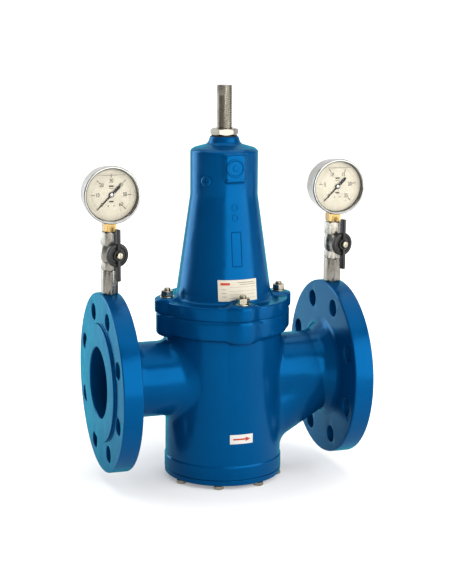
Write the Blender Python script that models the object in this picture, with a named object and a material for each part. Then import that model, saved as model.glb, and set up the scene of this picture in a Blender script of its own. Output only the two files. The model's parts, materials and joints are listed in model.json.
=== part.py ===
"""Flanged pressure reducing valve with a screwed spring bonnet and two pressure gauges.

Lengths below are in millimetres and heights are measured from the pipe axis; the meshes are made
in metres. +X is the flow direction, -Y is the front and +Z runs up the stem axis. The finished
model stands on the heads of its bottom cover bolts at Z = 0.
"""

from math import atan2, cos, pi, radians, sin, tau

import bmesh
import bpy

MM = 0.001
GAP = 0.3

# Flanges: PN 16, nominal bore 80.
FACE_TO_FACE = 291.0
FLANGE_RADIUS = 100.0
FLANGE_THICKNESS = 25.0
RAISED_FACE_RADIUS = 66.0
RAISED_FACE_HEIGHT = 3.0
BOLT_CIRCLE_RADIUS = 80.0
BOLT_HOLE_RADIUS = 9.5
BOLT_HOLES = 8
STUD_HOLE_RADIUS = 4.3
HOLE_SIDES = 8
BORE_RADIUS = 39.5

# Body casting.
BODY_RADIUS = 65.5
BASE_RING_RADIUS = 66.5
BASE_RING_TOP = -91.0
TOP_RING_RADIUS = 72.0
TOP_RING_BOTTOM = 52.5
BODY_BOTTOM = -106.7
BODY_TOP = 74.7
NECK_RADIUS = 42.0
PASSAGE_RADIUS = 34.0
SKIRT_START_X = 119.0
SKIRT_ANGLE = radians(30.5)
SKIRT_LENGTH = 118.0
CHAMBER_RADIUS = 56.0
PARTITION_BOTTOM = -38.0
PARTITION_TOP = -30.0
CHAMBER_TOP = 58.0
INLET_WALL_X = 42.0
OUTLET_WALL_X = 48.0
SEAT_BORE = 33.0
LINER_BORE = 45.0
LINER_FLANGE = 52.0
LINER_LEDGE = 68.0

# Bottom cover and its bolts.
COVER_TOP = -107.0
COVER_BOTTOM = -113.0
COVER_REGISTER = 52.0
COVER_BOLT_CIRCLE = 61.0
COVER_BOLTS = 8
MODELLED_COVER_BOLTS = 4
COVER_BOLT_HEAD = 4.0
COVER_HOLE_RADIUS = 3.2
AXIS_HEIGHT = COVER_BOLT_HEAD + GAP - COVER_BOTTOM

# Bonnet, its lugs and its studs.
BONNET_BOTTOM = 75.0
BONNET_FLANGE_TOP = 89.6
LUG_TOP = 91.4
LUG_CIRCLE = 66.0
LUGS = 4
CONE_BASE_RADIUS = 53.4
CONE_BASE_Z = 92.6
CONE_TOP_RADIUS = 37.5
CONE_TOP_Z = 205.0
BONNET_BORE_RADIUS = 30.8
BONNET_CEILING = 247.0
BOSS_TOP = 269.0
PAD_WIDTH = 23.0
PAD_BOTTOM = 223.0
PAD_TOP = 253.0
PAD_FRONT = 40.2
PAD_DISC_RADIUS = 9.4
PAD_DISC_Z = 237.5

# Adjusting screw: M18 x 2 with a thin lock nut.
SCREW_RADIUS = 9.0
SCREW_BOTTOM = 236.3
SCREW_TOP = 325.0
SCREW_FLATS = 14.0
SCREW_FLATS_LENGTH = 10.0
LOCK_NUT_REACH = 13.5
LOCK_NUT_TURN = radians(21.6)
VENT_ANGLE = radians(48.8)
VENT_Z = 222.5

# Moving trim at rest, which is fully open; it rises by the travel to close.
STEM_RADIUS = 9.5
STEM_END_RADIUS = 7.0
TRIM_BORE = STEM_END_RADIUS + GAP
SHOULDER_BOTTOM = -52.7
SHOULDER_TOP = 45.7
PISTON_RADIUS = 33.0
SPRING_RADIUS = 25.0
SPRING_WIRE = 4.0
SPRING_BOTTOM = 66.3
SPRING_TOP = 231.7
SPRING_TURNS = 8.5

# Gauge sets, one on each flange rim.
GAUGE_X = FACE_TO_FACE / 2 - RAISED_FACE_HEIGHT - (FLANGE_THICKNESS - RAISED_FACE_HEIGHT) / 2
COCK_Z = 144.8
COCK_TURN = radians(15)
GAUGE_Z = 209.9
GAUGE_FORWARD = 5.0
NEEDLE_REST = radians(225)

# Facets around a circle, by the size of the piece.
ROUND = 32
MEDIUM = 24
SMALL = 16
TINY = 12

BLUE = ("epoxy_blue", (0.004, 0.072, 0.27), 0.25, 0.0)
STAINLESS = ("stainless_steel", (0.62, 0.61, 0.58), 0.3, 1.0)
ZINC = ("zinc_plated_steel", (0.70, 0.68, 0.60), 0.32, 1.0)
NICKEL = ("nickel_plated_brass", (0.60, 0.58, 0.54), 0.3, 1.0)
BRASS = ("brass", (0.72, 0.48, 0.16), 0.28, 1.0)
BRONZE = ("bronze", (0.50, 0.30, 0.12), 0.4, 1.0)
RUBBER = ("black_rubber", (0.02, 0.02, 0.02), 0.7, 0.0)
SPRING_STEEL = ("spring_steel", (0.10, 0.11, 0.12), 0.45, 0.8)
BLACK_PLASTIC = ("black_plastic", (0.018, 0.018, 0.02), 0.4, 0.0)
DIAL_WHITE = ("dial_cream", (0.80, 0.76, 0.64), 0.5, 0.0)
POINTER_BLACK = ("pointer_black", (0.01, 0.01, 0.01), 0.4, 0.0)
WINDOW = ("clear_window", (0.90, 0.92, 0.92), 0.05, 0.0)
PAPER = ("label_foil", (0.80, 0.77, 0.70), 0.45, 0.0)


# ---------------------------------------------------------------- scene and materials


def clear_scene():
    """Remove whatever the file holds, such as the start-up cube."""
    for old in list(bpy.data.objects):
        bpy.data.objects.remove(old, do_unlink=True)


def add_empty(name, place, parent=None, turn=0.0):
    """An axis marker that pieces are parented to; place is in millimetres."""
    empty = bpy.data.objects.new(name, None)
    bpy.context.collection.objects.link(empty)
    empty.location = [value * MM for value in place]
    empty.rotation_euler = (0, 0, turn)
    empty.parent = parent
    return empty


def paint(piece, finish):
    """Give the piece a material of its own: colour, roughness and metallic value."""
    kind, colour, roughness, metallic = finish
    material = bpy.data.materials.new(f"{piece.name}_{kind}")
    material.use_nodes = True
    shader = material.node_tree.nodes["Principled BSDF"]
    shader.inputs["Base Color"].default_value = (*colour, 1.0)
    shader.inputs["Roughness"].default_value = roughness
    shader.inputs["Metallic"].default_value = metallic
    piece.data.materials.clear()
    piece.data.materials.append(material)


# ---------------------------------------------------------------- mesh building


def add_mesh(name, mesh_data, parent, place=(0, 0, 0), rotation=(0, 0, 0)):
    """Turn a bmesh in millimetres into a smooth-shaded object in metres."""
    bmesh.ops.remove_doubles(mesh_data, verts=mesh_data.verts, dist=0.0001)
    bmesh.ops.scale(mesh_data, vec=(MM, MM, MM), verts=mesh_data.verts)
    bmesh.ops.recalc_face_normals(mesh_data, faces=mesh_data.faces)
    mesh = bpy.data.meshes.new(name)
    mesh_data.to_mesh(mesh)
    mesh_data.free()
    mesh.shade_smooth()
    mesh.set_sharp_from_angle(angle=radians(35))
    piece = bpy.data.objects.new(name, mesh)
    bpy.context.collection.objects.link(piece)
    piece.location = [value * MM for value in place]
    piece.rotation_euler = rotation
    piece.parent = parent
    return piece


def flat_radius(inner_radius, sides, angle):
    """Distance from the axis to a regular polygon's edge, or the radius of a circle."""
    if sides == 0:
        return inner_radius
    sector = tau / sides
    from_middle = (angle + sector / 2) % sector - sector / 2
    return inner_radius / cos(from_middle)


def turned_mesh(profile, segments, closed):
    """Revolve (radius, height[, sides]) points about Z; a closed profile makes a ring."""
    mesh_data = bmesh.new()
    rings = []
    for radius, height, *rest in profile:
        sides = rest[0] if rest else 0
        if radius == 0:
            rings.append([mesh_data.verts.new((0, 0, height))])
            continue
        ring = []
        for step in range(segments):
            angle = tau * step / segments
            reach = flat_radius(radius, sides, angle)
            ring.append(mesh_data.verts.new((reach * cos(angle), reach * sin(angle), height)))
        rings.append(ring)
    following = rings[1:] + rings[:1] if closed else rings[1:]
    for lower, upper in zip(rings, following):
        join_rings(mesh_data, lower, upper, segments)
    middles = [ring[0] for ring in rings if len(ring) == 1]
    bmesh.ops.delete(mesh_data, geom=middles, context="VERTS")
    return mesh_data


def join_rings(mesh_data, lower, upper, segments):
    """Bridge two rings of a revolved shape; a ring of one vertex is the middle of a flat end."""
    if len(lower) == 1 or len(upper) == 1:
        mesh_data.faces.new(upper if len(lower) == 1 else lower)
        return
    for step in range(segments):
        after = (step + 1) % segments
        mesh_data.faces.new((lower[step], lower[after], upper[after], upper[step]))


def turned(name, profile, finish, parent, segments=ROUND, place=(0, 0, 0), rotation=(0, 0, 0)):
    """A revolved piece: a solid if its profile starts on the axis, a ring if it doesn't."""
    closed = profile[0][0] != 0
    piece = add_mesh(name, turned_mesh(profile, segments, closed), parent, place, rotation)
    paint(piece, finish)
    return piece


def prism_mesh(outline, low, high):
    """Extrude an outline of (x, y) points from one height to another."""
    mesh_data = bmesh.new()
    base = [mesh_data.verts.new((x, y, low)) for x, y in outline]
    top = [mesh_data.verts.new((x, y, high)) for x, y in outline]
    mesh_data.faces.new(base)
    mesh_data.faces.new(top)
    for index in range(len(outline)):
        after = (index + 1) % len(outline)
        mesh_data.faces.new((base[index], base[after], top[after], top[index]))
    return mesh_data


def box_mesh(low, high):
    """A box between two corners."""
    outline = [(low[0], low[1]), (high[0], low[1]), (high[0], high[1]), (low[0], high[1])]
    return prism_mesh(outline, low[2], high[2])


def rods_mesh(centres, radius, low, high, segments):
    """Upright round rods at several centres, as one mesh."""
    mesh_data = bmesh.new()
    for x, y in centres:
        ring = [(x + radius * cos(tau * k / segments), y + radius * sin(tau * k / segments))
                for k in range(segments)]
        base = [mesh_data.verts.new((px, py, low)) for px, py in ring]
        top = [mesh_data.verts.new((px, py, high)) for px, py in ring]
        mesh_data.faces.new(base)
        mesh_data.faces.new(top)
        join_rings(mesh_data, base, top, segments)
    return mesh_data


def on_circle(radius, count, start):
    """Centres spread evenly on a circle, from a start angle."""
    angles = [start + tau * index / count for index in range(count)]
    return [(radius * cos(angle), radius * sin(angle)) for angle in angles]


def helper(name, mesh_data, parent, place=(0, 0, 0), rotation=(0, 0, 0)):
    """A hidden shape that only shapes another piece."""
    tool = add_mesh(name, mesh_data, parent, place, rotation)
    tool.hide_render = True
    tool.display_type = "WIRE"
    return tool


def combine(piece, tool, operation):
    """Join or cut a piece with a hidden helper."""
    modifier = piece.modifiers.new(tool.name, "BOOLEAN")
    modifier.operation = operation
    modifier.solver = "EXACT"
    modifier.object = tool


def along_x(side=1):
    """Rotation that lays a revolved shape's axis along +X, or along -X."""
    return (0, side * pi / 2, 0)


FACING_FRONT = (pi / 2, 0, 0)


# ---------------------------------------------------------------- body casting


def end_profile(neck_end):
    """Half-outline of a flange with its raised face and its neck, from inside the body outwards."""
    face = FACE_TO_FACE / 2
    back = face - FLANGE_THICKNESS
    rim = face - RAISED_FACE_HEIGHT
    return [
        (0, neck_end),
        (NECK_RADIUS, neck_end),
        (NECK_RADIUS, back - 16),
        (NECK_RADIUS + 5, back - 6),
        (NECK_RADIUS + 13, back),
        (FLANGE_RADIUS, back),
        (FLANGE_RADIUS, rim),
        (RAISED_FACE_RADIUS, rim),
        (RAISED_FACE_RADIUS, face),
        (0, face),
    ]


def core_profile():
    """Outline of the upright barrel with its base ring and its bonnet ring."""
    return [
        (0, BODY_BOTTOM),
        (BASE_RING_RADIUS, BODY_BOTTOM),
        (BASE_RING_RADIUS, BASE_RING_TOP - 1),
        (BODY_RADIUS, BASE_RING_TOP),
        (BODY_RADIUS, TOP_RING_BOTTOM - 2),
        (TOP_RING_RADIUS, TOP_RING_BOTTOM + 2),
        (TOP_RING_RADIUS, BODY_TOP),
        (0, BODY_TOP),
    ]


def skirt_tool(parent):
    """Slanted round passage wall from the outlet neck down into the lower chamber."""
    profile = [(0, 0), (NECK_RADIUS, 0), (NECK_RADIUS, SKIRT_LENGTH), (0, SKIRT_LENGTH)]
    mesh_data = turned_mesh(profile, ROUND, closed=False)
    return helper("skirt_wall", mesh_data, parent, (SKIRT_START_X, 0, 0), (0, -pi / 2 - SKIRT_ANGLE, 0))


def add_body_shapes(body, axis):
    """Join the necks, the flanges, the slanted outlet wall and the stud bosses to the barrel."""
    for side, word in ((-1, "inlet"), (1, "outlet")):
        mesh_data = turned_mesh(end_profile(40.0), ROUND, closed=False)
        combine(body, helper(f"{word}_end", mesh_data, axis, rotation=along_x(side)), "UNION")
    combine(body, skirt_tool(axis), "UNION")
    boss = [
        (0, 46.5),
        (6.0, 47.5),
        (11.5, TOP_RING_BOTTOM + 0.5),
        (11.5, BODY_TOP - 0.4),
        (0, BODY_TOP - 0.4),
    ]
    for index, (x, y) in enumerate(on_circle(LUG_CIRCLE, LUGS, 0)):
        mesh_data = turned_mesh(boss, TINY, closed=False)
        combine(body, helper(f"stud_boss_{index + 1}", mesh_data, axis, (x, y, 0)), "UNION")


def outlet_passage(axis):
    """The slanted passage and the outlet bore, kept behind the wall beside the inlet chamber."""
    slant = [(0, -6), (PASSAGE_RADIUS, -6), (PASSAGE_RADIUS, 95), (0, 95)]
    mesh_data = turned_mesh(slant, SMALL, closed=False)
    slope = (0, -pi / 2 - SKIRT_ANGLE, 0)
    passage = helper("outlet_passage", mesh_data, axis, (SKIRT_START_X - 5, 0, 0), slope)
    face = FACE_TO_FACE / 2 + 1
    bore = [
        (0, 30),
        (PASSAGE_RADIUS - 1, 30),
        (PASSAGE_RADIUS - 1, 95),
        (BORE_RADIUS, 125),
        (BORE_RADIUS, face),
        (0, face),
    ]
    mesh_data = turned_mesh(bore, MEDIUM, closed=False)
    combine(passage, helper("outlet_bore", mesh_data, axis, rotation=along_x()), "UNION")
    keep_out = box_mesh((-90, -90, PARTITION_BOTTOM + 0.5), (OUTLET_WALL_X, 90, 90))
    combine(passage, helper("dividing_wall", keep_out, axis), "DIFFERENCE")
    return passage


def inlet_chamber(axis):
    """The chamber above the seat with the inlet bore."""
    barrel = [
        (0, PARTITION_TOP),
        (CHAMBER_RADIUS, PARTITION_TOP),
        (CHAMBER_RADIUS, CHAMBER_TOP),
        (0, CHAMBER_TOP),
    ]
    chamber = helper("inlet_chamber", turned_mesh(barrel, MEDIUM, closed=False), axis)
    limit = box_mesh((INLET_WALL_X, -90, -60), (90, 90, 90))
    combine(chamber, helper("chamber_limit", limit, axis), "DIFFERENCE")
    face = FACE_TO_FACE / 2 + 1
    bore = [
        (0, 30),
        (PASSAGE_RADIUS - 2, 30),
        (PASSAGE_RADIUS, 60),
        (BORE_RADIUS, 115),
        (BORE_RADIUS, face),
        (0, face),
    ]
    mesh_data = turned_mesh(bore, MEDIUM, closed=False)
    combine(chamber, helper("inlet_bore", mesh_data, axis, rotation=along_x(-1)), "UNION")
    return chamber


def bored_stack(axis):
    """Turned bores on the stem axis: lower chamber, seat bore, liner bore and seal groove."""
    above = BODY_TOP + 1
    profiles = {
        "lower_chamber": [
            (0, BODY_BOTTOM - 1),
            (CHAMBER_RADIUS, BODY_BOTTOM - 1),
            (CHAMBER_RADIUS, PARTITION_BOTTOM),
            (0, PARTITION_BOTTOM),
        ],
        "seat_bore": [
            (0, PARTITION_BOTTOM - 2),
            (SEAT_BORE, PARTITION_BOTTOM - 2),
            (SEAT_BORE, PARTITION_TOP + 2),
            (0, PARTITION_TOP + 2),
        ],
        "liner_bore": [
            (0, CHAMBER_TOP - 2),
            (LINER_BORE, CHAMBER_TOP - 2),
            (LINER_BORE, LINER_LEDGE),
            (LINER_FLANGE, LINER_LEDGE),
            (LINER_FLANGE, above),
            (0, above),
        ],
        "seal_groove": [(55.0, 72.1), (59.0, 72.1), (59.0, above), (55.0, above)],
    }
    tools = []
    for name, profile in profiles.items():
        mesh_data = turned_mesh(profile, ROUND, closed=profile[0][0] != 0)
        tools.append(helper(name, mesh_data, axis))
    return tools


def fastener_holes(axis):
    """Flange bolt holes, stud and cover bolt holes, and the gauge tappings in the flange rims."""
    pitch = tau / BOLT_HOLES
    centres = on_circle(BOLT_CIRCLE_RADIUS, BOLT_HOLES, pitch / 2)
    tools = []
    for side, word in ((-1, "inlet"), (1, "outlet")):
        mesh_data = rods_mesh(centres, BOLT_HOLE_RADIUS, 110, 150, TINY)
        tools.append(helper(f"{word}_bolt_holes", mesh_data, axis, rotation=along_x(side)))
        tapping = [(0, 30), (3.0, 30), (3.0, 86.5), (6.8, 86.5), (6.8, 105), (0, 105)]
        mesh_data = turned_mesh(tapping, TINY, closed=False)
        tools.append(helper(f"{word}_gauge_tapping", mesh_data, axis, (side * GAUGE_X, 0, 0)))
    centres = on_circle(LUG_CIRCLE, LUGS, 0)
    studs = rods_mesh(centres, STUD_HOLE_RADIUS, 49.5, BODY_TOP + 1, HOLE_SIDES)
    tools.append(helper("stud_holes", studs, axis))
    centres = on_circle(COVER_BOLT_CIRCLE, COVER_BOLTS, pi / COVER_BOLTS)
    covers = rods_mesh(centres, COVER_HOLE_RADIUS, BODY_BOTTOM - 1, -94.0, TINY)
    tools.append(helper("cover_bolt_holes", covers, axis))
    return tools


def valve_body(axis):
    """Cast body: barrel, flanged ends, slanted outlet wall and all machined bores."""
    body = turned("valve_body", core_profile(), BLUE, axis)
    add_body_shapes(body, axis)
    rooms = [inlet_chamber(axis), outlet_passage(axis)]
    for tool in (*bored_stack(axis), *rooms, *fastener_holes(axis)):
        combine(body, tool, "DIFFERENCE")


# ---------------------------------------------------------------- fixed internals and bottom cover


def fixed_internals(axis):
    """Seat ring, piston liner, bonnet joint seal and the bush that guides the stem's lower end."""
    seat = [
        (30, -42),
        (31.2, -42),
        (SEAT_BORE - GAP, -40.5),
        (SEAT_BORE - GAP, -29.7),
        (35.5, -29.7),
        (35.5, -26),
        (31.5, -25.5),
        (30, -27),
    ]
    turned("seat_ring", seat, STAINLESS, axis, SMALL)
    liner = [
        (33.5, 38),
        (37, 38),
        (38, 39),
        (38, 62),
        (LINER_BORE - GAP, 62),
        (LINER_BORE - GAP, LINER_LEDGE + GAP),
        (LINER_FLANGE - GAP, LINER_LEDGE + GAP),
        (LINER_FLANGE - GAP, 74.4),
        (33.5, 74.4),
    ]
    turned("piston_liner", liner, BRONZE, axis, SMALL)
    seal = [(55.3, 72.4), (58.7, 72.4), (58.7, BODY_TOP), (55.3, BODY_TOP)]
    turned("bonnet_joint_seal", seal, RUBBER, axis)
    bush = [(6.2, -110), (10, -110), (10, -84.5), (6.2, -84.5)]
    turned("stem_guide_bush", bush, BRONZE, axis, TINY)


def bottom_cover(axis):
    """Cover with its register, seal groove, stem guide boss and bolt holes."""
    outline = [
        (0, COVER_BOTTOM),
        (BASE_RING_RADIUS - 1.5, COVER_BOTTOM),
        (BASE_RING_RADIUS, COVER_BOTTOM + 1.5),
        (BASE_RING_RADIUS, COVER_TOP),
        (COVER_REGISTER, COVER_TOP),
        (COVER_REGISTER, -99.5),
        (48, -99.5),
        (48, -105.5),
        (16, -105.5),
        (16, -86),
        (10.3, -86),
        (10.3, -110.3),
        (0, -110.3),
    ]
    cover = turned("bottom_cover", outline, BLUE, axis)
    centres = on_circle(COVER_BOLT_CIRCLE, COVER_BOLTS, pi / COVER_BOLTS)
    holes = rods_mesh(centres, COVER_HOLE_RADIUS, COVER_BOTTOM - 2, COVER_TOP + 3, TINY)
    combine(cover, helper("cover_holes", holes, axis), "DIFFERENCE")
    inner = COVER_REGISTER + GAP
    outer = CHAMBER_RADIUS - GAP
    seal = [(inner, COVER_TOP + GAP), (outer, COVER_TOP + GAP), (outer, -103.7), (inner, -103.7)]
    turned("cover_seal", seal, RUBBER, axis)


def cover_bolts(axis):
    """Every second bolt of the cover's circle, so that the model stands on four heads."""
    head_bottom = COVER_BOTTOM - GAP - COVER_BOLT_HEAD
    head_top = COVER_BOTTOM - GAP
    profile = [
        (0, head_bottom),
        (5, head_bottom, 6),
        (5, head_top, 6),
        (2.9, head_top),
        (2.9, -96),
        (0, -96),
    ]
    places = on_circle(COVER_BOLT_CIRCLE, MODELLED_COVER_BOLTS, pi / COVER_BOLTS)
    for index, (x, y) in enumerate(places):
        turned(f"cover_bolt_{index + 1}", profile, ZINC, axis, TINY, (x, y, 0))


# ---------------------------------------------------------------- bonnet


def bonnet_profile():
    """Section of the bonnet wall: flange, cone, upper cylinder, shoulder and boss."""
    return [
        (46.0, BONNET_BOTTOM),
        (TOP_RING_RADIUS, BONNET_BOTTOM),
        (TOP_RING_RADIUS, BONNET_FLANGE_TOP - 2),
        (TOP_RING_RADIUS - 2, BONNET_FLANGE_TOP),
        (CONE_BASE_RADIUS + 2, BONNET_FLANGE_TOP),
        (CONE_BASE_RADIUS, CONE_BASE_Z),
        (CONE_TOP_RADIUS, CONE_TOP_Z),
        (CONE_TOP_RADIUS, 252.5),
        (34.5, 255.8),
        (19.5, 260.4),
        (18.0, 261.4),
        (16.0, BOSS_TOP),
        (SCREW_RADIUS + GAP, BOSS_TOP),
        (SCREW_RADIUS + GAP, BONNET_CEILING),
        (BONNET_BORE_RADIUS, BONNET_CEILING),
        (BONNET_BORE_RADIUS, CONE_TOP_Z),
        (46.0, CONE_BASE_Z),
    ]


def spring_bonnet(axis):
    """Cast spring bonnet with four stud lugs, a front pad with a disc and a vent hole."""
    bonnet = turned("spring_bonnet", bonnet_profile(), BLUE, axis)
    low = BONNET_BOTTOM + GAP
    lug = [(0, low), (14, low), (14, 89.5), (12.5, LUG_TOP), (0, LUG_TOP)]
    for index, (x, y) in enumerate(on_circle(LUG_CIRCLE, LUGS, 0)):
        mesh_data = turned_mesh(lug, TINY, closed=False)
        combine(bonnet, helper(f"stud_lug_{index + 1}", mesh_data, axis, (x, y, 0)), "UNION")
    pad = box_mesh((-PAD_WIDTH / 2, -PAD_FRONT, PAD_BOTTOM), (PAD_WIDTH / 2, -33, PAD_TOP))
    combine(bonnet, helper("front_pad", pad, axis), "UNION")
    front = PAD_FRONT + 1.8
    disc = [(0, 34), (PAD_DISC_RADIUS, 34), (PAD_DISC_RADIUS, front), (0, front)]
    disc = turned_mesh(disc, SMALL, closed=False)
    combine(bonnet, helper("pad_disc", disc, axis, (0, 0, PAD_DISC_Z), FACING_FRONT), "UNION")
    centres = on_circle(LUG_CIRCLE, LUGS, 0)
    holes = rods_mesh(centres, STUD_HOLE_RADIUS, BONNET_BOTTOM - 2, LUG_TOP + 2, TINY)
    combine(bonnet, helper("lug_holes", holes, axis), "DIFFERENCE")
    vent = turned_mesh([(0, 25), (3.8, 25), (3.8, 45), (0, 45)], TINY, closed=False)
    turn = (pi / 2, 0, -VENT_ANGLE)
    combine(bonnet, helper("vent_hole", vent, axis, (0, 0, VENT_Z), turn), "DIFFERENCE")
    plug = [(0, 31.5), (3.5, 31.5), (3.5, 38), (6, 38), (6, 39.4), (5.2, 40.2), (0, 40.2)]
    turned("vent_plug", plug, BLUE, axis, TINY, (0, 0, VENT_Z), turn)


def bonnet_fasteners(axis):
    """Four studs, each with a hexagon nut on a washer face."""
    stud = [(0, 51), (3.9, 51), (3.9, 102), (3.2, 102.7), (0, 102.7)]
    low = LUG_TOP + GAP
    nut = [
        (4.2, low),
        (8, low),
        (8, low + 1.5),
        (6.5, low + 1.5, 6),
        (6.5, low + 8, 6),
        (4.2, low + 8),
    ]
    for index, (x, y) in enumerate(on_circle(LUG_CIRCLE, LUGS, 0)):
        turned(f"bonnet_stud_{index + 1}", stud, ZINC, axis, TINY, (x, y, 0))
        turned(f"bonnet_nut_{index + 1}", nut, ZINC, axis, TINY, (x, y, 0))


# ---------------------------------------------------------------- spring and adjusting screw


def spring_path(steps_per_turn):
    """Points along the coil: one close turn at each end and even turns between."""
    low = SPRING_BOTTOM + SPRING_WIRE
    high = SPRING_TOP - SPRING_WIRE
    close_pitch = 2 * SPRING_WIRE + 2 * GAP
    active_pitch = (high - low - 2 * close_pitch) / (SPRING_TURNS - 2)
    points = []
    for step in range(int(SPRING_TURNS * steps_per_turn) + 1):
        turns = step / steps_per_turn
        middle = min(max(turns - 1, 0), SPRING_TURNS - 2)
        height = low + close_pitch * (turns - middle) + active_pitch * middle
        angle = tau * turns
        points.append((SPRING_RADIUS * cos(angle), SPRING_RADIUS * sin(angle), height))
    return points


def main_spring(axis, sides=5, steps_per_turn=12):
    """Round wire swept along the coil, with flat ends."""
    mesh_data = bmesh.new()
    rings = []
    for x, y, height in spring_path(steps_per_turn):
        angle = atan2(y, x)
        ring = []
        for side in range(sides):
            around = tau * side / sides
            reach = SPRING_RADIUS + SPRING_WIRE * cos(around)
            z = height + SPRING_WIRE * sin(around)
            ring.append(mesh_data.verts.new((reach * cos(angle), reach * sin(angle), z)))
        rings.append(ring)
    for lower, upper in zip(rings, rings[1:]):
        join_rings(mesh_data, lower, upper, sides)
    mesh_data.faces.new(rings[0])
    mesh_data.faces.new(rings[-1])
    paint(add_mesh("main_spring", mesh_data, axis), SPRING_STEEL)


def adjusting_gear(axis):
    """Upper spring seat, adjusting screw with two spanner flats, lock nut and its seal ring."""
    recess = SCREW_RADIUS + 1
    seat = [
        (0, 226),
        (18, 226),
        (20.3, 229),
        (20.3, 232),
        (29.5, 232),
        (29.5, 240),
        (recess, 240),
        (recess, 236),
        (0, 236),
    ]
    turned("upper_spring_seat", seat, STAINLESS, axis, SMALL)
    screw = [
        (0, SCREW_BOTTOM),
        (SCREW_RADIUS - 1.5, SCREW_BOTTOM),
        (SCREW_RADIUS, SCREW_BOTTOM + 1.5),
        (SCREW_RADIUS, SCREW_TOP - 1),
        (SCREW_RADIUS - 1, SCREW_TOP),
        (0, SCREW_TOP),
    ]
    piece = turned("adjusting_screw", screw, STAINLESS, axis, MEDIUM)
    for side in (-1, 1):
        near, far = sorted((side * SCREW_FLATS / 2, side * 12))
        block = box_mesh((near, -12, SCREW_TOP - SCREW_FLATS_LENGTH), (far, 12, SCREW_TOP + 2))
        combine(piece, helper(f"screw_flat_{side}", block, axis), "DIFFERENCE")
    low = BOSS_TOP + GAP
    bore = SCREW_RADIUS + 0.5
    seal = [(bore, low), (14.5, low), (14.5, low + 0.8), (bore, low + 0.8)]
    turned("lock_nut_seal", seal, RUBBER, axis, MEDIUM)
    low += 0.8 + GAP
    bore = SCREW_RADIUS + GAP
    nut = [
        (bore, low),
        (LOCK_NUT_REACH - 0.4, low),
        (LOCK_NUT_REACH, low + 0.6, 6),
        (LOCK_NUT_REACH, low + 6.7, 6),
        (LOCK_NUT_REACH - 0.4, low + 7.3),
        (bore, low + 7.3),
    ]
    turned("lock_nut", nut, STAINLESS, axis, MEDIUM, rotation=(0, 0, LOCK_NUT_TURN))


# ---------------------------------------------------------------- moving trim


def moving_trim(axis):
    """Stem with the piston above and the valve disc below, each clamped by a nut."""
    stem = [
        (0, -106),
        (5.9, -106),
        (5.9, -81),
        (STEM_END_RADIUS, -80),
        (STEM_END_RADIUS, SHOULDER_BOTTOM),
        (STEM_RADIUS, SHOULDER_BOTTOM),
        (STEM_RADIUS, SHOULDER_TOP),
        (STEM_END_RADIUS, SHOULDER_TOP),
        (STEM_END_RADIUS, 79),
        (0, 79),
    ]
    turned("stem", stem, STAINLESS, axis, TINY)
    piston = [
        (TRIM_BORE, 46),
        (24, 46),
        (PISTON_RADIUS, 49),
        (PISTON_RADIUS, 54),
        (29.7, 54),
        (29.7, 59.2),
        (PISTON_RADIUS, 59.2),
        (PISTON_RADIUS, 66),
        (20, 66),
        (19, 70),
        (TRIM_BORE, 70),
    ]
    turned("piston", piston, BRONZE, axis, SMALL)
    ring = [(30, 54.3), (32.5, 54.3), (33.2, 55.3), (33.2, 57.9), (32.5, 58.9), (30, 58.9)]
    turned("piston_seal", ring, RUBBER, axis, SMALL)
    retainer = [
        (TRIM_BORE, -59.4),
        (14.2, -59.4),
        (14.2, -57.6),
        (22.2, -57.6),
        (22.2, -55),
        (20, -53),
        (TRIM_BORE, -53),
    ]
    turned("disc_retainer", retainer, STAINLESS, axis, SMALL)
    seal = [(14.5, -59.4), (34, -59.4), (34, -56.4), (24, -56.4), (22.5, -57.9), (14.5, -57.9)]
    turned("disc_seal", seal, RUBBER, axis, SMALL)
    disc = [
        (TRIM_BORE, -70),
        (14, -70),
        (36, -66),
        (36, -57.6),
        (34.4, -57.6),
        (34.4, -59.7),
        (TRIM_BORE, -59.7),
    ]
    turned("valve_disc", disc, STAINLESS, axis, SMALL)
    for name, low in (("stem_top_nut", 70.3), ("stem_bottom_nut", -79.0)):
        nut = [(TRIM_BORE, low), (11, low, 6), (11, low + 7.5, 6), (TRIM_BORE, low + 7.5)]
        turned(name, nut, STAINLESS, axis, TINY)


# ---------------------------------------------------------------- labels


def wrapped_sheet(name, axis, radius_at, half_angle, low, high):
    """A thin sheet wrapped on the front of a round casting, standing a small gap off it."""
    thickness = 0.4
    columns = 10
    mesh_data = bmesh.new()
    layers = []
    for lift in (GAP, GAP + thickness):
        layer = []
        for height in (low, high):
            reach = radius_at(height) + lift
            row = []
            for column in range(columns + 1):
                angle = half_angle * (2 * column / columns - 1)
                row.append(mesh_data.verts.new((reach * sin(angle), -reach * cos(angle), height)))
            layer.append(row)
        layers.append(layer)
    inner, outer = layers
    for here in range(columns):
        there = here + 1
        for low_row, high_row in layers:
            mesh_data.faces.new((low_row[here], low_row[there], high_row[there], high_row[here]))
        for near, far in zip(inner, outer):
            mesh_data.faces.new((near[here], near[there], far[there], far[here]))
    for column in (0, columns):
        mesh_data.faces.new((inner[0][column], inner[1][column], outer[1][column], outer[0][column]))
    paint(add_mesh(name, mesh_data, axis), PAPER)


def labels(axis):
    """Data label on the bonnet cone and flow arrow label on the body."""
    slope = (CONE_TOP_RADIUS - CONE_BASE_RADIUS) / (CONE_TOP_Z - CONE_BASE_Z)

    def cone_radius(height):
        return CONE_BASE_RADIUS + slope * (height - CONE_BASE_Z)

    def barrel_radius(height):
        return BODY_RADIUS

    wrapped_sheet("data_label", axis, cone_radius, radians(26), 93.2, 117.0)
    wrapped_sheet("flow_label", axis, barrel_radius, radians(11.8), -64.5, -54.0)


# ---------------------------------------------------------------- gauge sets


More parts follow.
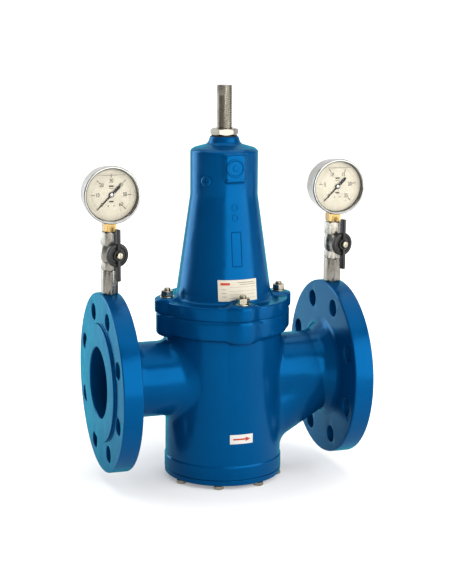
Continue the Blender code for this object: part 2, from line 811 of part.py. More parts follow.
def cock_body(word, cock):
    """Small ball cock: spigot, hexagon ends, ball chamber and the neck for its stem."""
    profile = [
        (3, -30.5),
        (5, -30.5),
        (5, -18.3),
        (8.5, -18.3, 6),
        (8.5, -10.5, 6),
        (7.5, -9),
        (9.2, -6),
        (9.8, 0),
        (9.2, 6),
        (7.5, 9),
        (8.5, 10.5, 6),
        (8.5, 23.7, 6),
        (5.4, 23.7),
        (5.4, 12.5),
        (3, 11),
    ]
    body = turned(f"{word}_cock_body", profile, NICKEL, cock, TINY)
    neck = turned_mesh([(0, 7.3), (6.2, 7.3), (6.2, 11.7), (0, 11.7)], TINY, closed=False)
    combine(body, helper(f"{word}_stem_neck", neck, cock, rotation=FACING_FRONT), "UNION")
    cavity = bmesh.new()
    bmesh.ops.create_uvsphere(cavity, u_segments=8, v_segments=6, radius=7.4)
    combine(body, helper(f"{word}_ball_cavity", cavity, cock, rotation=(0, 0, radians(7))), "DIFFERENCE")
    hole = turned_mesh([(0, 4), (3.3, 4), (3.3, 14), (0, 14)], TINY, closed=False)
    combine(body, helper(f"{word}_stem_hole", hole, cock, rotation=FACING_FRONT), "DIFFERENCE")


def cock_ball(word, cock):
    """Bored ball with a slot that takes the stem's tongue."""
    radius = 6.5
    bore = 3.0
    edge = atan2((radius ** 2 - bore ** 2) ** 0.5, bore)
    arc = [edge * (1 - step / 2) for step in range(5)]
    profile = [(radius * cos(angle), radius * sin(angle)) for angle in arc]
    ball = turned(f"{word}_cock_ball", profile, STAINLESS, cock, TINY)
    slot = box_mesh((-1.1, -8, -3.2), (1.1, -5.2, 3.2))
    combine(ball, helper(f"{word}_ball_slot", slot, cock), "DIFFERENCE")


def cock_stem_and_handle(word, cock):
    """Stem with its tongue, two-winged handle and the screw that holds it."""
    shaft = [(0, 7.4), (3, 7.4), (3, 20.4), (1.9, 20.4), (1.9, 12), (0, 12)]
    stem = turned(f"{word}_cock_stem", shaft, STAINLESS, cock, TINY, rotation=FACING_FRONT)
    tongue = box_mesh((-0.8, -8, -2.6), (0.8, -5.6, 2.6))
    combine(stem, helper(f"{word}_stem_tongue", tongue, cock), "UNION")
    hub = [
        (3.3, 12.2),
        (6, 12.2),
        (6, 15),
        (13, 15),
        (13, 20),
        (6, 20),
        (6, 21.8),
        (1.9, 21.8),
        (1.9, 20.8),
        (3.3, 20.8),
    ]
    handle = turned(f"{word}_cock_handle", hub, BLACK_PLASTIC, cock, SMALL, rotation=FACING_FRONT)
    for side, end in ((-1, "lower"), (1, "upper")):
        near, far = sorted((side * 4.6, side * 28.5))
        wing = box_mesh((-2, -22.6, near), (2, -15.8, far))
        combine(handle, helper(f"{word}_{end}_wing", wing, cock), "UNION")
    screw = [(0, 13), (1.6, 13), (1.6, 22.1), (3.6, 22.1), (3.6, 24), (2.8, 24.8), (0, 24.8)]
    turned(f"{word}_handle_screw", screw, ZINC, cock, TINY, rotation=FACING_FRONT)


def gauge_case_set(word, gauge):
    """Case, bezel, window and dial of one gauge, all turned about the axis that faces the front."""
    case = [
        (0, -16),
        (26, -16),
        (29.6, -12.5),
        (29.6, 8.3),
        (28.4, 8.3),
        (28.4, -12),
        (25.4, -14.8),
        (0, -14.8),
    ]
    shell = turned(f"{word}_gauge_case", case, STAINLESS, gauge, MEDIUM, rotation=FACING_FRONT)
    entry = rods_mesh([(0, GAUGE_FORWARD)], 5.6, -34, -24, TINY)
    combine(shell, helper(f"{word}_socket_entry", entry, gauge), "DIFFERENCE")
    bezel = [
        (29.9, 5.6),
        (31.5, 5.6),
        (31.5, 10.8),
        (30.4, 12.2),
        (29, 12.2),
        (28.4, 11.4),
        (28.4, 10.1),
        (29.9, 10.1),
    ]
    turned(f"{word}_gauge_bezel", bezel, STAINLESS, gauge, MEDIUM, rotation=FACING_FRONT)
    window = [(0, 8.6), (29.5, 8.6), (29.5, 9.8), (0, 9.8)]
    turned(f"{word}_gauge_window", window, WINDOW, gauge, MEDIUM, rotation=FACING_FRONT)
    dial = [(1.6, 5.6), (28, 5.6), (28, 6.3), (1.6, 6.3)]
    turned(f"{word}_gauge_dial", dial, DIAL_WHITE, gauge, MEDIUM, rotation=FACING_FRONT)


def gauge_pointer(word, gauge):
    """Needle with its hub and shaft, pointing at the start of the scale."""
    shaft = [(0, -3), (1.1, -3), (1.1, 6.6), (2.6, 6.6), (2.6, 8.2), (0, 8.2)]
    pointer = turned(f"{word}_gauge_pointer", shaft, POINTER_BLACK, gauge, TINY, rotation=FACING_FRONT)
    right_half = [(0.25, 24), (1.1, 0), (1.1, -5), (2, -7), (2, -13.5)]
    outline = right_half + [(-x, y) for x, y in reversed(right_half)]
    turned_outline = []
    for x, y in outline:
        east = x * cos(NEEDLE_REST) + y * sin(NEEDLE_REST)
        north = y * cos(NEEDLE_REST) - x * sin(NEEDLE_REST)
        turned_outline.append((east, north))
    needle = helper(f"{word}_needle", prism_mesh(turned_outline, 7.0, 7.7), gauge, rotation=FACING_FRONT)
    combine(pointer, needle, "UNION")


def gauge_set(word, side, axis):
    """Everything on one flange rim, from the hexagon nipple up to the gauge."""
    nipple = [
        (3, 87),
        (6.5, 87),
        (6.5, 100.3),
        (8.5, 100.3, 6),
        (8.5, 126.2, 6),
        (5.4, 126.2),
        (5.4, 113.5),
        (3, 112.5),
    ]
    turned(f"{word}_gauge_nipple", nipple, NICKEL, axis, TINY, (side * GAUGE_X, 0, 0))
    cock = add_empty(f"{word}_cock_axis", (side * GAUGE_X, 0, COCK_Z), axis, COCK_TURN)
    cock_body(word, cock)
    cock_ball(word, cock)
    cock_stem_and_handle(word, cock)
    socket = [
        (0, 157.6),
        (5, 157.6),
        (5, 168.8),
        (6.9, 168.8, 4),
        (6.9, 178.6, 4),
        (5.2, 178.6),
        (5.2, 186),
        (0, 186),
    ]
    turned(f"{word}_gauge_socket", socket, BRASS, axis, SMALL, (side * GAUGE_X, 0, 0))
    gauge = add_empty(f"{word}_gauge_axis", (side * GAUGE_X, -GAUGE_FORWARD, GAUGE_Z), axis)
    gauge_case_set(word, gauge)
    gauge_pointer(word, gauge)


def build():
    clear_scene()
    axis = add_empty("pipe_axis", (0, 0, AXIS_HEIGHT))
    valve_body(axis)
    fixed_internals(axis)
    bottom_cover(axis)
    cover_bolts(axis)
    spring_bonnet(axis)
    bonnet_fasteners(axis)
    main_spring(axis)
    adjusting_gear(axis)
    moving_trim(axis)
    labels(axis)
    for word, side in (("inlet", -1), ("outlet", 1)):
        gauge_set(word, side, axis)


build()
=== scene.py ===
"""Looks of the flanged pressure reducing valve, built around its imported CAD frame.

Lengths are in millimetres and heights are measured from the pipe axis, as in the CAD. Each mesh is
brought into the frame, in metres and standing on Z = 0, when its object is made.
"""

import json
from math import atan, cos, pi, radians, sin, sqrt, tan, tau

import bmesh
import bpy
import numpy as np
from mathutils import Matrix, Vector

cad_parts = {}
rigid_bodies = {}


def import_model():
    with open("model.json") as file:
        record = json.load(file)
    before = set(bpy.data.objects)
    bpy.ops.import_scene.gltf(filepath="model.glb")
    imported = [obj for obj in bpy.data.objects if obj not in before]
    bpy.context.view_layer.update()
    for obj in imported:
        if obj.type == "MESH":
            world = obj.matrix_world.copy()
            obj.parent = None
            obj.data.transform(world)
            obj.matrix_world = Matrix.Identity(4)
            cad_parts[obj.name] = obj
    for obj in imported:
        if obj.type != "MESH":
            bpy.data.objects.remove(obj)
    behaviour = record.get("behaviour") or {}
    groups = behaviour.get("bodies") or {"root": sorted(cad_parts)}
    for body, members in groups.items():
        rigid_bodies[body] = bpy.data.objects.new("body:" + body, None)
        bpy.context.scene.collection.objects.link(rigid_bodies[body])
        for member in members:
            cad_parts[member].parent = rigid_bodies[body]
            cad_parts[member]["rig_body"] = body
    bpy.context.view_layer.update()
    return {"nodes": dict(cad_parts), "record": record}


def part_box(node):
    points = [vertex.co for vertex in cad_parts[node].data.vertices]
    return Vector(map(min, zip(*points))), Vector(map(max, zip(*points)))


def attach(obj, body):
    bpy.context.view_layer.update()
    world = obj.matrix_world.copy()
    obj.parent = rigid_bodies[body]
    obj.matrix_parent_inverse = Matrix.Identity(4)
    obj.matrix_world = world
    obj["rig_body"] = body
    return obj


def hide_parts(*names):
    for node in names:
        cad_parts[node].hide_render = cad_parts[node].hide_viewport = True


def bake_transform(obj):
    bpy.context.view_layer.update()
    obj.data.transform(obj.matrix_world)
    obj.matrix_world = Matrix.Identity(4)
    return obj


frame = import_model()

MM = 0.001
FLANGE_RADIUS = 100.0
AXIS_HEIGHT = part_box("valve_body")[1].z / MM - FLANGE_RADIUS
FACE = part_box("valve_body")[1].x / MM

# Flanged ends.
FLANGE_THICKNESS = 25.0
RAISED_FACE_HEIGHT = 3.0
RAISED_FACE_RADIUS = 66.0
BOLT_CIRCLE = 80.0
BOLT_HOLE = 9.5
BORE = 39.5
NECK = 42.0
SKIRT_START = 119.0
SKIRT_ANGLE = radians(30.5)

# Barrel, from the cover face to the bonnet joint.
BODY_BOTTOM = -106.7
BODY_TOP = 74.7
BARREL = 65.5
BASE_RING = 66.5
BASE_RING_TOP = -91.0
TOP_RING = 72.0
TOP_RING_BOTTOM = 52.5
LUG_CIRCLE = 66.0

# Bonnet.
BONNET_BOTTOM = 75.0
CONE_FOOT = (53.4, 92.6)
CONE_HEAD = (37.5, 205.0)
CONE_SLOPE = atan((CONE_FOOT[0] - CONE_HEAD[0]) / (CONE_HEAD[1] - CONE_FOOT[1]))
BOSS_TOP = 269.0
PAD_FRONT = 39.2
PAD_DISC_Z = 237.5
VENT_ANGLE = radians(48.8)
VENT_Z = 222.5

# Fasteners, adjusting screw and spring.
STUD = {"radius": 3.9, "pitch": 1.25, "low": 51, "high": 102.7}
SCREW = {"radius": 9, "pitch": 2, "low": 236.3, "high": 325, "segments": 64}
FLATS_TURN = radians(40)
LOCK_NUT_TURN = radians(21.6)
COVER_SCREW_CIRCLE = 61.0
SPRING_LOW = 70.3
SPRING_HIGH = 227.7
SPRING_TURNS = 8.5
SPRING_RADIUS = 25.0
WIRE_RADIUS = 4.0

# Gauge sets.
GAUGE_X = FACE - RAISED_FACE_HEIGHT - (FLANGE_THICKNESS - RAISED_FACE_HEIGHT) / 2
COCK_Z = 144.8
COCK_TURN = radians(15)
GAUGE_Z = 209.9
GAUGE_FORWARD = 5.0
PRINT_LEVELS = (6.31, 6.36)
SCALE_START = radians(225)
SCALE_SWEEP = radians(270)

FINE = 144
ROUND = 96
SMALL = 48
SHARP_ANGLE = radians(32)
CAST_ANGLE = radians(48)

# Camera: angles in degrees, lengths in metres.
CAMERA_AZIMUTH = 18.76
CAMERA_ELEVATION = 11.24
CAMERA_ROLL = 0.34
CAMERA_DISTANCE = 1.672
CAMERA_TARGET = Vector((0.0031, 0, AXIS_HEIGHT * MM + 0.0936))
CAMERA_LENS = 91.6


# ---- materials


def tune(node, values):
    """Set a node's own inputs by their names."""
    for name, value in values.items():
        node.inputs[name].default_value = value


def new_material(name, colour, roughness, metallic=0.0):
    """A Principled material, with its node tree and its shader."""
    material = bpy.data.materials.new(name)
    material.use_nodes = True
    tree = material.node_tree
    shader = tree.nodes["Principled BSDF"]
    tune(shader, {"Base Color": (*colour, 1), "Roughness": roughness, "Metallic": metallic})
    return material, tree, shader


def noise(tree, scale, detail=2.0, stretch=(1, 1, 1)):
    """Noise in the frame's own coordinates, so that it keeps its real size."""
    place = tree.nodes.new("ShaderNodeTexCoord")
    mapping = tree.nodes.new("ShaderNodeMapping")
    texture = tree.nodes.new("ShaderNodeTexNoise")
    tune(mapping, {"Scale": stretch})
    tune(texture, {"Scale": scale, "Detail": detail})
    tree.links.new(place.outputs["Object"], mapping.inputs["Vector"])
    tree.links.new(mapping.outputs["Vector"], texture.inputs["Vector"])
    return texture.outputs["Fac"]


def ramp(tree, value, low, high, positions=(0.3, 0.7)):
    """A colour ramp between two grey values or two colours."""
    node = tree.nodes.new("ShaderNodeValToRGB")
    for stop, tone, position in zip(node.color_ramp.elements, (low, high), positions):
        colour = tone if isinstance(tone, tuple) else (tone, tone, tone)
        stop.color = (*colour, 1)
        stop.position = position
    tree.links.new(value, node.inputs["Fac"])
    return node.outputs["Color"]


def bump(tree, shader, height, strength, distance, before=None):
    """Bump from a height value; before is an earlier bump that it adds to."""
    node = tree.nodes.new("ShaderNodeBump")
    tune(node, {"Strength": strength, "Distance": distance})
    tree.links.new(height, node.inputs["Height"])
    if before is not None:
        tree.links.new(before, node.inputs["Normal"])
    tree.links.new(node.outputs["Normal"], shader.inputs["Normal"])
    return node.outputs["Normal"]


def epoxy_material():
    """Glossy blue epoxy over cast iron: an uneven casting under a faint orange peel.

    The coat reflects nothing itself; it only keeps slanting reflections blue.
    """
    material, tree, shader = new_material("epoxy_blue", (0.0004, 0.040, 0.135), 0.2, 0.25)
    tune(shader, {"Specular Tint": (0.04, 0.46, 0.95, 1), "Specular IOR Level": 0.3})
    tune(shader, {"Coat Weight": 1.0, "Coat IOR": 1.0, "Coat Roughness": 0.05})
    tune(shader, {"Coat Tint": (0.70, 0.95, 0.955, 1)})
    tone = ramp(tree, noise(tree, 14, 3), (0.0003, 0.037, 0.118), (0.0005, 0.044, 0.138))
    tree.links.new(tone, shader.inputs["Base Color"])
    tree.links.new(ramp(tree, noise(tree, 60, 3), 0.17, 0.27), shader.inputs["Roughness"])
    casting = bump(tree, shader, noise(tree, 55, 2), 0.10, 0.0035)
    bump(tree, shader, noise(tree, 420, 1), 0.045, 0.0006, casting)
    return material


def metal_material(name, colour, roughness, stretch=(1, 1, 1), scale=900, depth=0.12):
    """Machined or plated metal: a base tone with fine tool marks and uneven shine."""
    material, tree, shader = new_material(name, colour, roughness, 1.0)
    darker = tuple(0.82 * part for part in colour)
    lighter = tuple(min(1, 1.08 * part) for part in colour)
    tree.links.new(ramp(tree, noise(tree, 120, 4), darker, lighter), shader.inputs["Base Color"])
    shine = ramp(tree, noise(tree, scale, 2, stretch), 0.75 * roughness, 1.35 * roughness)
    tree.links.new(shine, shader.inputs["Roughness"])
    bump(tree, shader, noise(tree, scale, 2, stretch), depth, 0.0002)
    return material


def plastic_material(name, colour, roughness, grain):
    """Moulded plastic, rubber or printed foil with a fine grain."""
    material, tree, shader = new_material(name, colour, roughness)
    tune(shader, {"Specular IOR Level": 0.2})
    lighter = tuple(min(1, 1.12 * part + 0.004) for part in colour)
    tree.links.new(ramp(tree, noise(tree, 80, 3), colour, lighter), shader.inputs["Base Color"])
    shine = ramp(tree, noise(tree, grain, 2), 0.85 * roughness, 1.15 * roughness)
    tree.links.new(shine, shader.inputs["Roughness"])
    bump(tree, shader, noise(tree, grain, 2), 0.15, 0.0002)
    return material


def window_material():
    """Clear gauge window: mostly see-through, with a clean reflection."""
    material, tree, shader = new_material("clear_window", (0.02, 0.02, 0.02), 0.03)
    tune(shader, {"Alpha": 0.05, "Specular IOR Level": 0.35})
    tree.links.new(ramp(tree, noise(tree, 40, 1), 0.02, 0.05), shader.inputs["Roughness"])
    return material


EVEN_MARKS = (1, 1, 1)
ROUND_MARKS = (1, 1, 12)
METALS = {
    "stainless_steel": ((0.25, 0.23, 0.19), 0.28, ROUND_MARKS),
    "polished_stainless": ((0.28, 0.275, 0.26), 0.20, EVEN_MARKS, 500, 0.03),
    "zinc_plated_steel": ((0.30, 0.27, 0.21), 0.22, EVEN_MARKS, 300, 0.03),
    "nickel_plated_brass": ((0.24, 0.225, 0.195), 0.30, EVEN_MARKS, 260, 0.02),
    "brass": ((0.27, 0.18, 0.068), 0.26, ROUND_MARKS),
    "bronze": ((0.50, 0.30, 0.13), 0.35, ROUND_MARKS),
    "spring_steel": ((0.12, 0.12, 0.13), 0.38),
}
PLASTICS = {
    "rubber": ((0.012, 0.012, 0.013), 0.6, 500),
    "black_plastic": ((0.007, 0.0065, 0.006), 0.36, 700),
    "dial_cream": ((0.43, 0.395, 0.31), 0.5, 900),
    "pointer_black": ((0.008, 0.008, 0.008), 0.35, 900),
    "label_foil": ((0.36, 0.33, 0.265), 0.45, 900),
    "label_white": ((0.38, 0.37, 0.35), 0.45, 900),
    "print_black": ((0.012, 0.011, 0.010), 0.5, 900),
    "print_grey": ((0.16, 0.14, 0.12), 0.5, 900),
    "print_red": ((0.27, 0.02, 0.01), 0.5, 900),
}
MATERIALS = {"epoxy_blue": epoxy_material(), "clear_window": window_material()}
MATERIALS.update((name, metal_material(name, *look)) for name, look in METALS.items())
MATERIALS.update((name, plastic_material(name, *look)) for name, look in PLASTICS.items())


# ---- mesh building


def piece(name, mesh_data, slot, replaces=(), body="root", material=None, sharp=SHARP_ANGLE):
    """Turn a bmesh or an object in millimetres into a named piece that rides on a CAD body."""
    made = mesh_data if isinstance(mesh_data, bpy.types.Object) else loose_object(name, mesh_data)
    made.name = name
    made.data.name = name
    made.data.transform(Matrix.Translation((0, 0, AXIS_HEIGHT * MM)) @ Matrix.Scale(MM, 4))
    made.data.materials.clear()
    made.data.materials.append(MATERIALS[material or slot])
    made.data.shade_smooth()
    made.data.set_sharp_from_angle(angle=sharp)
    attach(made, body)
    if replaces:
        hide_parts(*replaces)
    return made


def linked(name, data):
    """An object that holds the data, linked to the scene."""
    made = bpy.data.objects.new(name, data)
    bpy.context.scene.collection.objects.link(made)
    return made


def evaluated_mesh(made):
    """A new mesh: the object's own with its modifiers applied."""
    bpy.context.view_layer.update()
    shape = made.evaluated_get(bpy.context.evaluated_depsgraph_get())
    return bpy.data.meshes.new_from_object(shape)


def loose_object(name, mesh_data):
    """An object in millimetres, made from a bmesh and not yet part of the valve."""
    bmesh.ops.remove_doubles(mesh_data, verts=mesh_data.verts, dist=0.0005)
    bmesh.ops.recalc_face_normals(mesh_data, faces=mesh_data.faces)
    mesh = bpy.data.meshes.new(name)
    mesh_data.to_mesh(mesh)
    mesh_data.free()
    return linked(name, mesh)


def moved(mesh_data, matrix):
    """Move a bmesh's vertices by a matrix and return it."""
    bmesh.ops.transform(mesh_data, matrix=matrix, verts=mesh_data.verts)
    return mesh_data


def merged(*parts):
    """Put several bmeshes into one."""
    whole = parts[0]
    for part in parts[1:]:
        mesh = bpy.data.meshes.new("part")
        part.to_mesh(mesh)
        part.free()
        whole.from_mesh(mesh)
        bpy.data.meshes.remove(mesh)
    return whole


def combined(base, tools, operation):
    """Apply Booleans to a loose object, one by one; the tools are bmeshes or loose objects."""
    for mesh_data in tools:
        tool = loose_object("tool", mesh_data) if isinstance(mesh_data, bmesh.types.BMesh) else mesh_data
        modifier = base.modifiers.new("cut", "BOOLEAN")
        modifier.operation = operation
        modifier.solver = "EXACT"
        modifier.object = tool
        result = evaluated_mesh(base)
        base.modifiers.clear()
        old = base.data
        base.data = result
        bpy.data.meshes.remove(old)
        bpy.data.objects.remove(tool)
    return base


def rounded(points, radii, steps=5):
    """Round an outline's corners: radii holds one radius for each corner, or one for all."""
    count = len(points)
    if not isinstance(radii, (list, tuple)):
        radii = [radii] * count
    outline = []
    for index, (point, radius) in enumerate(zip(points, radii)):
        here = Vector(point)
        before = Vector(points[index - 1]) - here
        after = Vector(points[(index + 1) % count]) - here
        on_axis = here.x == 0 or index in (0, count - 1) and points[0][0] == 0
        if radius == 0 or on_axis or before.length == 0 or after.length == 0:
            outline.append(tuple(here))
            continue
        half = before.angle(after) / 2
        room = 0.48 * min(before.length, after.length)
        reach = min(radius / tan(half), room) if half < pi / 2 - 0.01 else 0
        if reach == 0:
            outline.append(tuple(here))
            continue
        start = here + before.normalized() * reach
        end = here + after.normalized() * reach
        for step in range(steps + 1):
            t = step / steps
            outline.append(tuple((1 - t) ** 2 * start + 2 * t * (1 - t) * here + t ** 2 * end))
    return outline


def flat_reach(radius, sides, angle):
    """Distance from the axis to a regular polygon's edge, or the radius of a circle."""
    if sides == 0:
        return radius
    sector = tau / sides
    return radius / cos((angle + sector / 2) % sector - sector / 2)


def turned(profile, segments=ROUND):
    """Revolve (radius, height) points about Z; a profile that leaves the axis makes a ring."""
    return section_stack([(height, radius, 0, radius) for radius, height in profile], segments)


def lathed(points, radii, segments=ROUND, steps=5):
    """Revolve an outline whose corners are rounded first."""
    return turned(rounded(points, radii, steps), segments)


def rod(radius, low, high, segments=ROUND):
    """A plain round bar along Z."""
    return turned([(0, low), (radius, low), (radius, high), (0, high)], segments)


def section_stack(levels, segments=ROUND):
    """Stack sections (height, flat radius, sides, round limit): polygons cut off by a circle."""
    mesh_data = bmesh.new()
    rings = []
    for height, radius, sides, limit in levels:
        if radius == 0:
            rings.append([mesh_data.verts.new((0, 0, height))])
            continue
        ring = []
        for step in range(segments):
            angle = tau * step / segments
            reach = min(flat_reach(radius, sides, angle), limit)
            ring.append(mesh_data.verts.new((reach * cos(angle), reach * sin(angle), height)))
        rings.append(ring)
    closed = levels[0][1] != 0
    following = rings[1:] + rings[:1] if closed else rings[1:]
    for lower, upper in zip(rings, following):
        bridge(mesh_data, lower, upper)
    return mesh_data


def bridge(mesh_data, lower, upper, wrap=True):
    """Faces between two rows of vertices; a row of one vertex is a middle point."""
    count = max(len(lower), len(upper))
    for step in range(count if wrap else count - 1):
        after = (step + 1) % count
        if len(lower) == 1:
            mesh_data.faces.new((lower[0], upper[after], upper[step]))
        elif len(upper) == 1:
            mesh_data.faces.new((lower[step], lower[after], upper[0]))
        else:
            mesh_data.faces.new((lower[step], lower[after], upper[after], upper[step]))


def hexagon(flats, low, high, bore=0.0):
    """A hexagon bar or nut between two heights, with turned-off corners at both ends."""
    radius = flats / 2
    corner = radius / cos(pi / 6)
    depth = (corner - 0.97 * radius) * tan(radians(30))
    levels = []
    for share in (0, 0.25, 0.5, 0.75, 1):
        limit = 0.97 * radius + share * (corner - 0.97 * radius) + 0.001
        levels.append((low + share * depth, radius, 6, limit))
    levels += [(low + high - height, *rest) for height, *rest in reversed(levels)]
    if bore:
        ends = [(high, bore, 0, bore), (low, bore, 0, bore)]
    else:
        ends = [(high, 0, 0, 0)]
        levels.insert(0, (low, 0, 0, 0))
    return section_stack(levels + ends)


def ring_on(bottom, top, inner, outer, edge, segments=ROUND, steps=3):
    """A plain ring with rounded edges."""
    outline = [(inner, bottom), (outer, bottom), (outer, top), (inner, top)]
    return lathed(outline, edge, segments, steps)


def rounded_box(low, high, radius, steps=3):
    """A box with rounded edges, from one corner to the other."""
    mesh_data = bmesh.new()
    bmesh.ops.create_cube(mesh_data, size=1)
    size = Vector(high) - Vector(low)
    middle = (Vector(high) + Vector(low)) / 2
    moved(mesh_data, Matrix.Translation(middle) @ Matrix.Diagonal((*size, 1)))
    edges = list(mesh_data.edges)
    bmesh.ops.bevel(
        mesh_data, geom=edges, offset=radius, segments=steps, profile=0.5, affect="EDGES",
    )
    return mesh_data


def cross_recess(reach, half, low, high, edge):
    """Two crossed bars that cut the recess of a screw head."""
    first = rounded_box((-reach, -half, low), (reach, half, high), edge)
    return [first, rounded_box((-half, -reach, low), (half, reach, high), edge)]


def on_circle(radius, count, start=0.0):
    """Centres spread evenly on a circle."""
    angles = [start + tau * k / count for k in range(count)]
    return [(radius * cos(angle), radius * sin(angle)) for angle in angles]


def shift(x=0.0, y=0.0, z=0.0):
    """A move without a turn."""
    return Matrix.Translation((x, y, z))


def along_x(side=1):
    """Lay a revolved shape's axis along +X, or along -X."""
    return Matrix.Rotation(side * pi / 2, 4, "Y")


FACING_FRONT = Matrix.Rotation(pi / 2, 4, "X")


# ---- cast skins


def skin(field, low, high, step):
    """The closed surface where a field is zero, as a mesh whose points lie right on it."""
    counts = [int(np.ceil((b - a) / step)) + 1 for a, b in zip(low, high)]
    axes = [a + step * np.arange(count) for a, count in zip(low, counts)]
    grid = np.stack(np.meshgrid(*axes, indexing="ij"), -1)
    values = field(grid)
    inside = values < 0
    total = np.zeros([count - 1 for count in counts] + [3])
    hits = np.zeros([count - 1 for count in counts])
    crossings = []
    for axis in range(3):
        places = np.argwhere(np.diff(inside, axis=axis))
        other = [k for k in range(3) if k != axis]
        on_edge = (places[:, other] < 1) | (places[:, other] > np.array(counts)[other] - 2)
        places = places[~on_edge.any(1)]
        here = tuple(places.T)
        a, b = values[here], values[tuple((places + np.eye(3, dtype=int)[axis]).T)]
        points = grid[here]
        points[:, axis] += step * a / (a - b)
        cells = []
        for du, dv in ((0, 0), (1, 0), (1, 1), (0, 1)):
            cell = places.copy()
            cell[:, other[0]] -= du
            cell[:, other[1]] -= dv
            cells.append(cell)
            np.add.at(total, tuple(cell.T), points)
            np.add.at(hits, tuple(cell.T), 1)
        crossings.append((cells, a < 0, axis))
    used = np.argwhere(hits > 0)
    number = np.full(hits.shape, -1)
    number[tuple(used.T)] = np.arange(len(used))
    points = total[tuple(used.T)] / hits[tuple(used.T)][:, None]
    points = settled(field, points, 0.25 * step)
    faces = []
    for cells, leaving, axis in crossings:
        corners = np.stack([number[tuple(cell.T)] for cell in cells], 1)
        flip = leaving if axis != 1 else ~leaving
        corners[~flip] = corners[~flip][:, ::-1]
        faces.append(corners)
    mesh = bpy.data.meshes.new("skin")
    mesh.from_pydata(points.tolist(), [], np.concatenate(faces).tolist())
    mesh.update()
    return linked("skin", mesh)


def settled(field, points, small):
    """Move points onto the field's zero surface along its slope."""
    for _ in range(4):
        value = field(points)
        slope = np.empty_like(points)
        for axis in range(3):
            offset = np.zeros(3)
            offset[axis] = small
            slope[:, axis] = (field(points + offset) - field(points - offset)) / (2 * small)
        size = np.maximum((slope ** 2).sum(1), 0.05)
        points = points - slope * (value / size)[:, None]
    return points


def rod_field(points, start, direction, radius, length, edge=2.0):
    """Distance to a solid rod with rounded rims, from a start point along a direction."""
    way = np.array(direction, float)
    way /= np.linalg.norm(way)
    local = points - np.array(start, float)
    along = local @ way
    reach = np.sqrt(np.maximum((local ** 2).sum(-1) - along ** 2, 0))
    over = np.stack([reach - radius + edge, np.abs(along - length / 2) - length / 2 + edge])
    outside = np.sqrt((np.maximum(over, 0) ** 2).sum(0))
    return outside + np.minimum(over.max(0), 0) - edge


def box_field(points, low, high, edge=1.5):
    """Distance to a box with rounded edges."""
    middle = (np.array(low, float) + np.array(high, float)) / 2
    half = (np.array(high, float) - np.array(low, float)) / 2 - edge
    over = np.abs(points - middle) - half
    return np.sqrt((np.maximum(over, 0) ** 2).sum(-1)) + np.minimum(over.max(-1), 0) - edge


def joined(a, b, fillet):
    """Union of two fields with a cast fillet between them."""
    share = np.maximum(fillet - np.abs(a - b), 0) / fillet
    return np.minimum(a, b) - share ** 2 * fillet / 4


# ---- body casting


def saddle_field(points):
    """Necks, slanted outlet wall and stud bosses, running into the barrel with cast fillets."""
    height = BODY_TOP - BODY_BOTTOM - 2
    barrel = rod_field(points, (0, 0, BODY_BOTTOM + 1), (0, 0, 1), BARREL - 0.25, height)
    inlet = rod_field(points, (-118, 0, 0), (1, 0, 0), NECK, 118)
    outlet = rod_field(points, (20, 0, 0), (1, 0, 0), NECK, 98)
    slant = (-cos(SKIRT_ANGLE), 0, -sin(SKIRT_ANGLE))
    skirt = rod_field(points, (SKIRT_START - 4, 0, -2), slant, NECK - 0.6, 112, 3)
    right = joined(joined(barrel, skirt, 9), outlet, 5)
    whole = joined(joined(right, inlet, 11), right, 0.01)
    depth = BODY_TOP - TOP_RING_BOTTOM - 0.6
    ring = rod_field(points, (0, 0, TOP_RING_BOTTOM), (0, 0, 1), TOP_RING - 0.3, depth, 3)
    for x, y in on_circle(LUG_CIRCLE, 4):
        boss = rod_field(points, (x, y, TOP_RING_BOTTOM - 0.5), (0, 0, 1), 10.2, depth, 2)
        ring = joined(ring, boss, 16)
    return joined(whole, ring, 4)


def barrel_core():
    """The barrel turned to its outline, with its base ring and its joint ring."""
    joint = TOP_RING - 0.5
    outline = [
        (0, BODY_BOTTOM), (BASE_RING - 0.6, BODY_BOTTOM), (BASE_RING, BODY_BOTTOM + 0.8),
        (BASE_RING, BASE_RING_TOP - 1.2), (BARREL, BASE_RING_TOP + 0.4), (BARREL, TOP_RING_BOTTOM - 3),
        (joint, TOP_RING_BOTTOM + 3), (joint, BODY_TOP), (0, BODY_TOP),
    ]
    return lathed(outline, [0, 0.5, 0.8, 1.2, 1.2, 5, 2.5, 0.8, 0], FINE)


def flanged_end(side):
    """One end flange with its raised face and the fillet that runs down to the neck."""
    back = FACE - FLANGE_THICKNESS
    rim = FACE - RAISED_FACE_HEIGHT
    outline = [
        (0, 60), (NECK - 1.5, 60), (NECK - 0.4, back - 22), (NECK + 1.6, back - 12),
        (NECK + 10, back - 1.5), (NECK + 16, back), (FLANGE_RADIUS, back), (FLANGE_RADIUS, rim),
        (RAISED_FACE_RADIUS, rim), (RAISED_FACE_RADIUS, FACE), (0, FACE),
    ]
    radii = [0, 0, 0, 14, 9, 4, 2.2, 1.6, 0.8, 0.9, 0]
    return moved(lathed(outline, radii, FINE, 7), along_x(side))


def flared_hole(radius, low, high, flare=0.9):
    """A round cutter that opens out at both ends, so that the hole's edges come out rounded."""
    outline = [(0, low - 2), (radius + flare, low - 2), (radius + flare, low)]
    for step in range(1, 5):
        angle = step / 4 * pi / 2
        outline.append((radius + flare * (1 - sin(angle)), low + flare * (1 - cos(angle))))
    outline += [(r, low + high - z) for r, z in reversed(outline)]
    return turned(outline, SMALL)


def flange_cutters(side):
    """The bolt holes of one flange."""
    back = FACE - FLANGE_THICKNESS
    rim = FACE - RAISED_FACE_HEIGHT
    holes = []
    for x, y in on_circle(BOLT_CIRCLE, 8, pi / 8):
        holes.append(moved(flared_hole(BOLT_HOLE, back, rim), along_x(side) @ shift(x, y)))
    return merged(*holes)


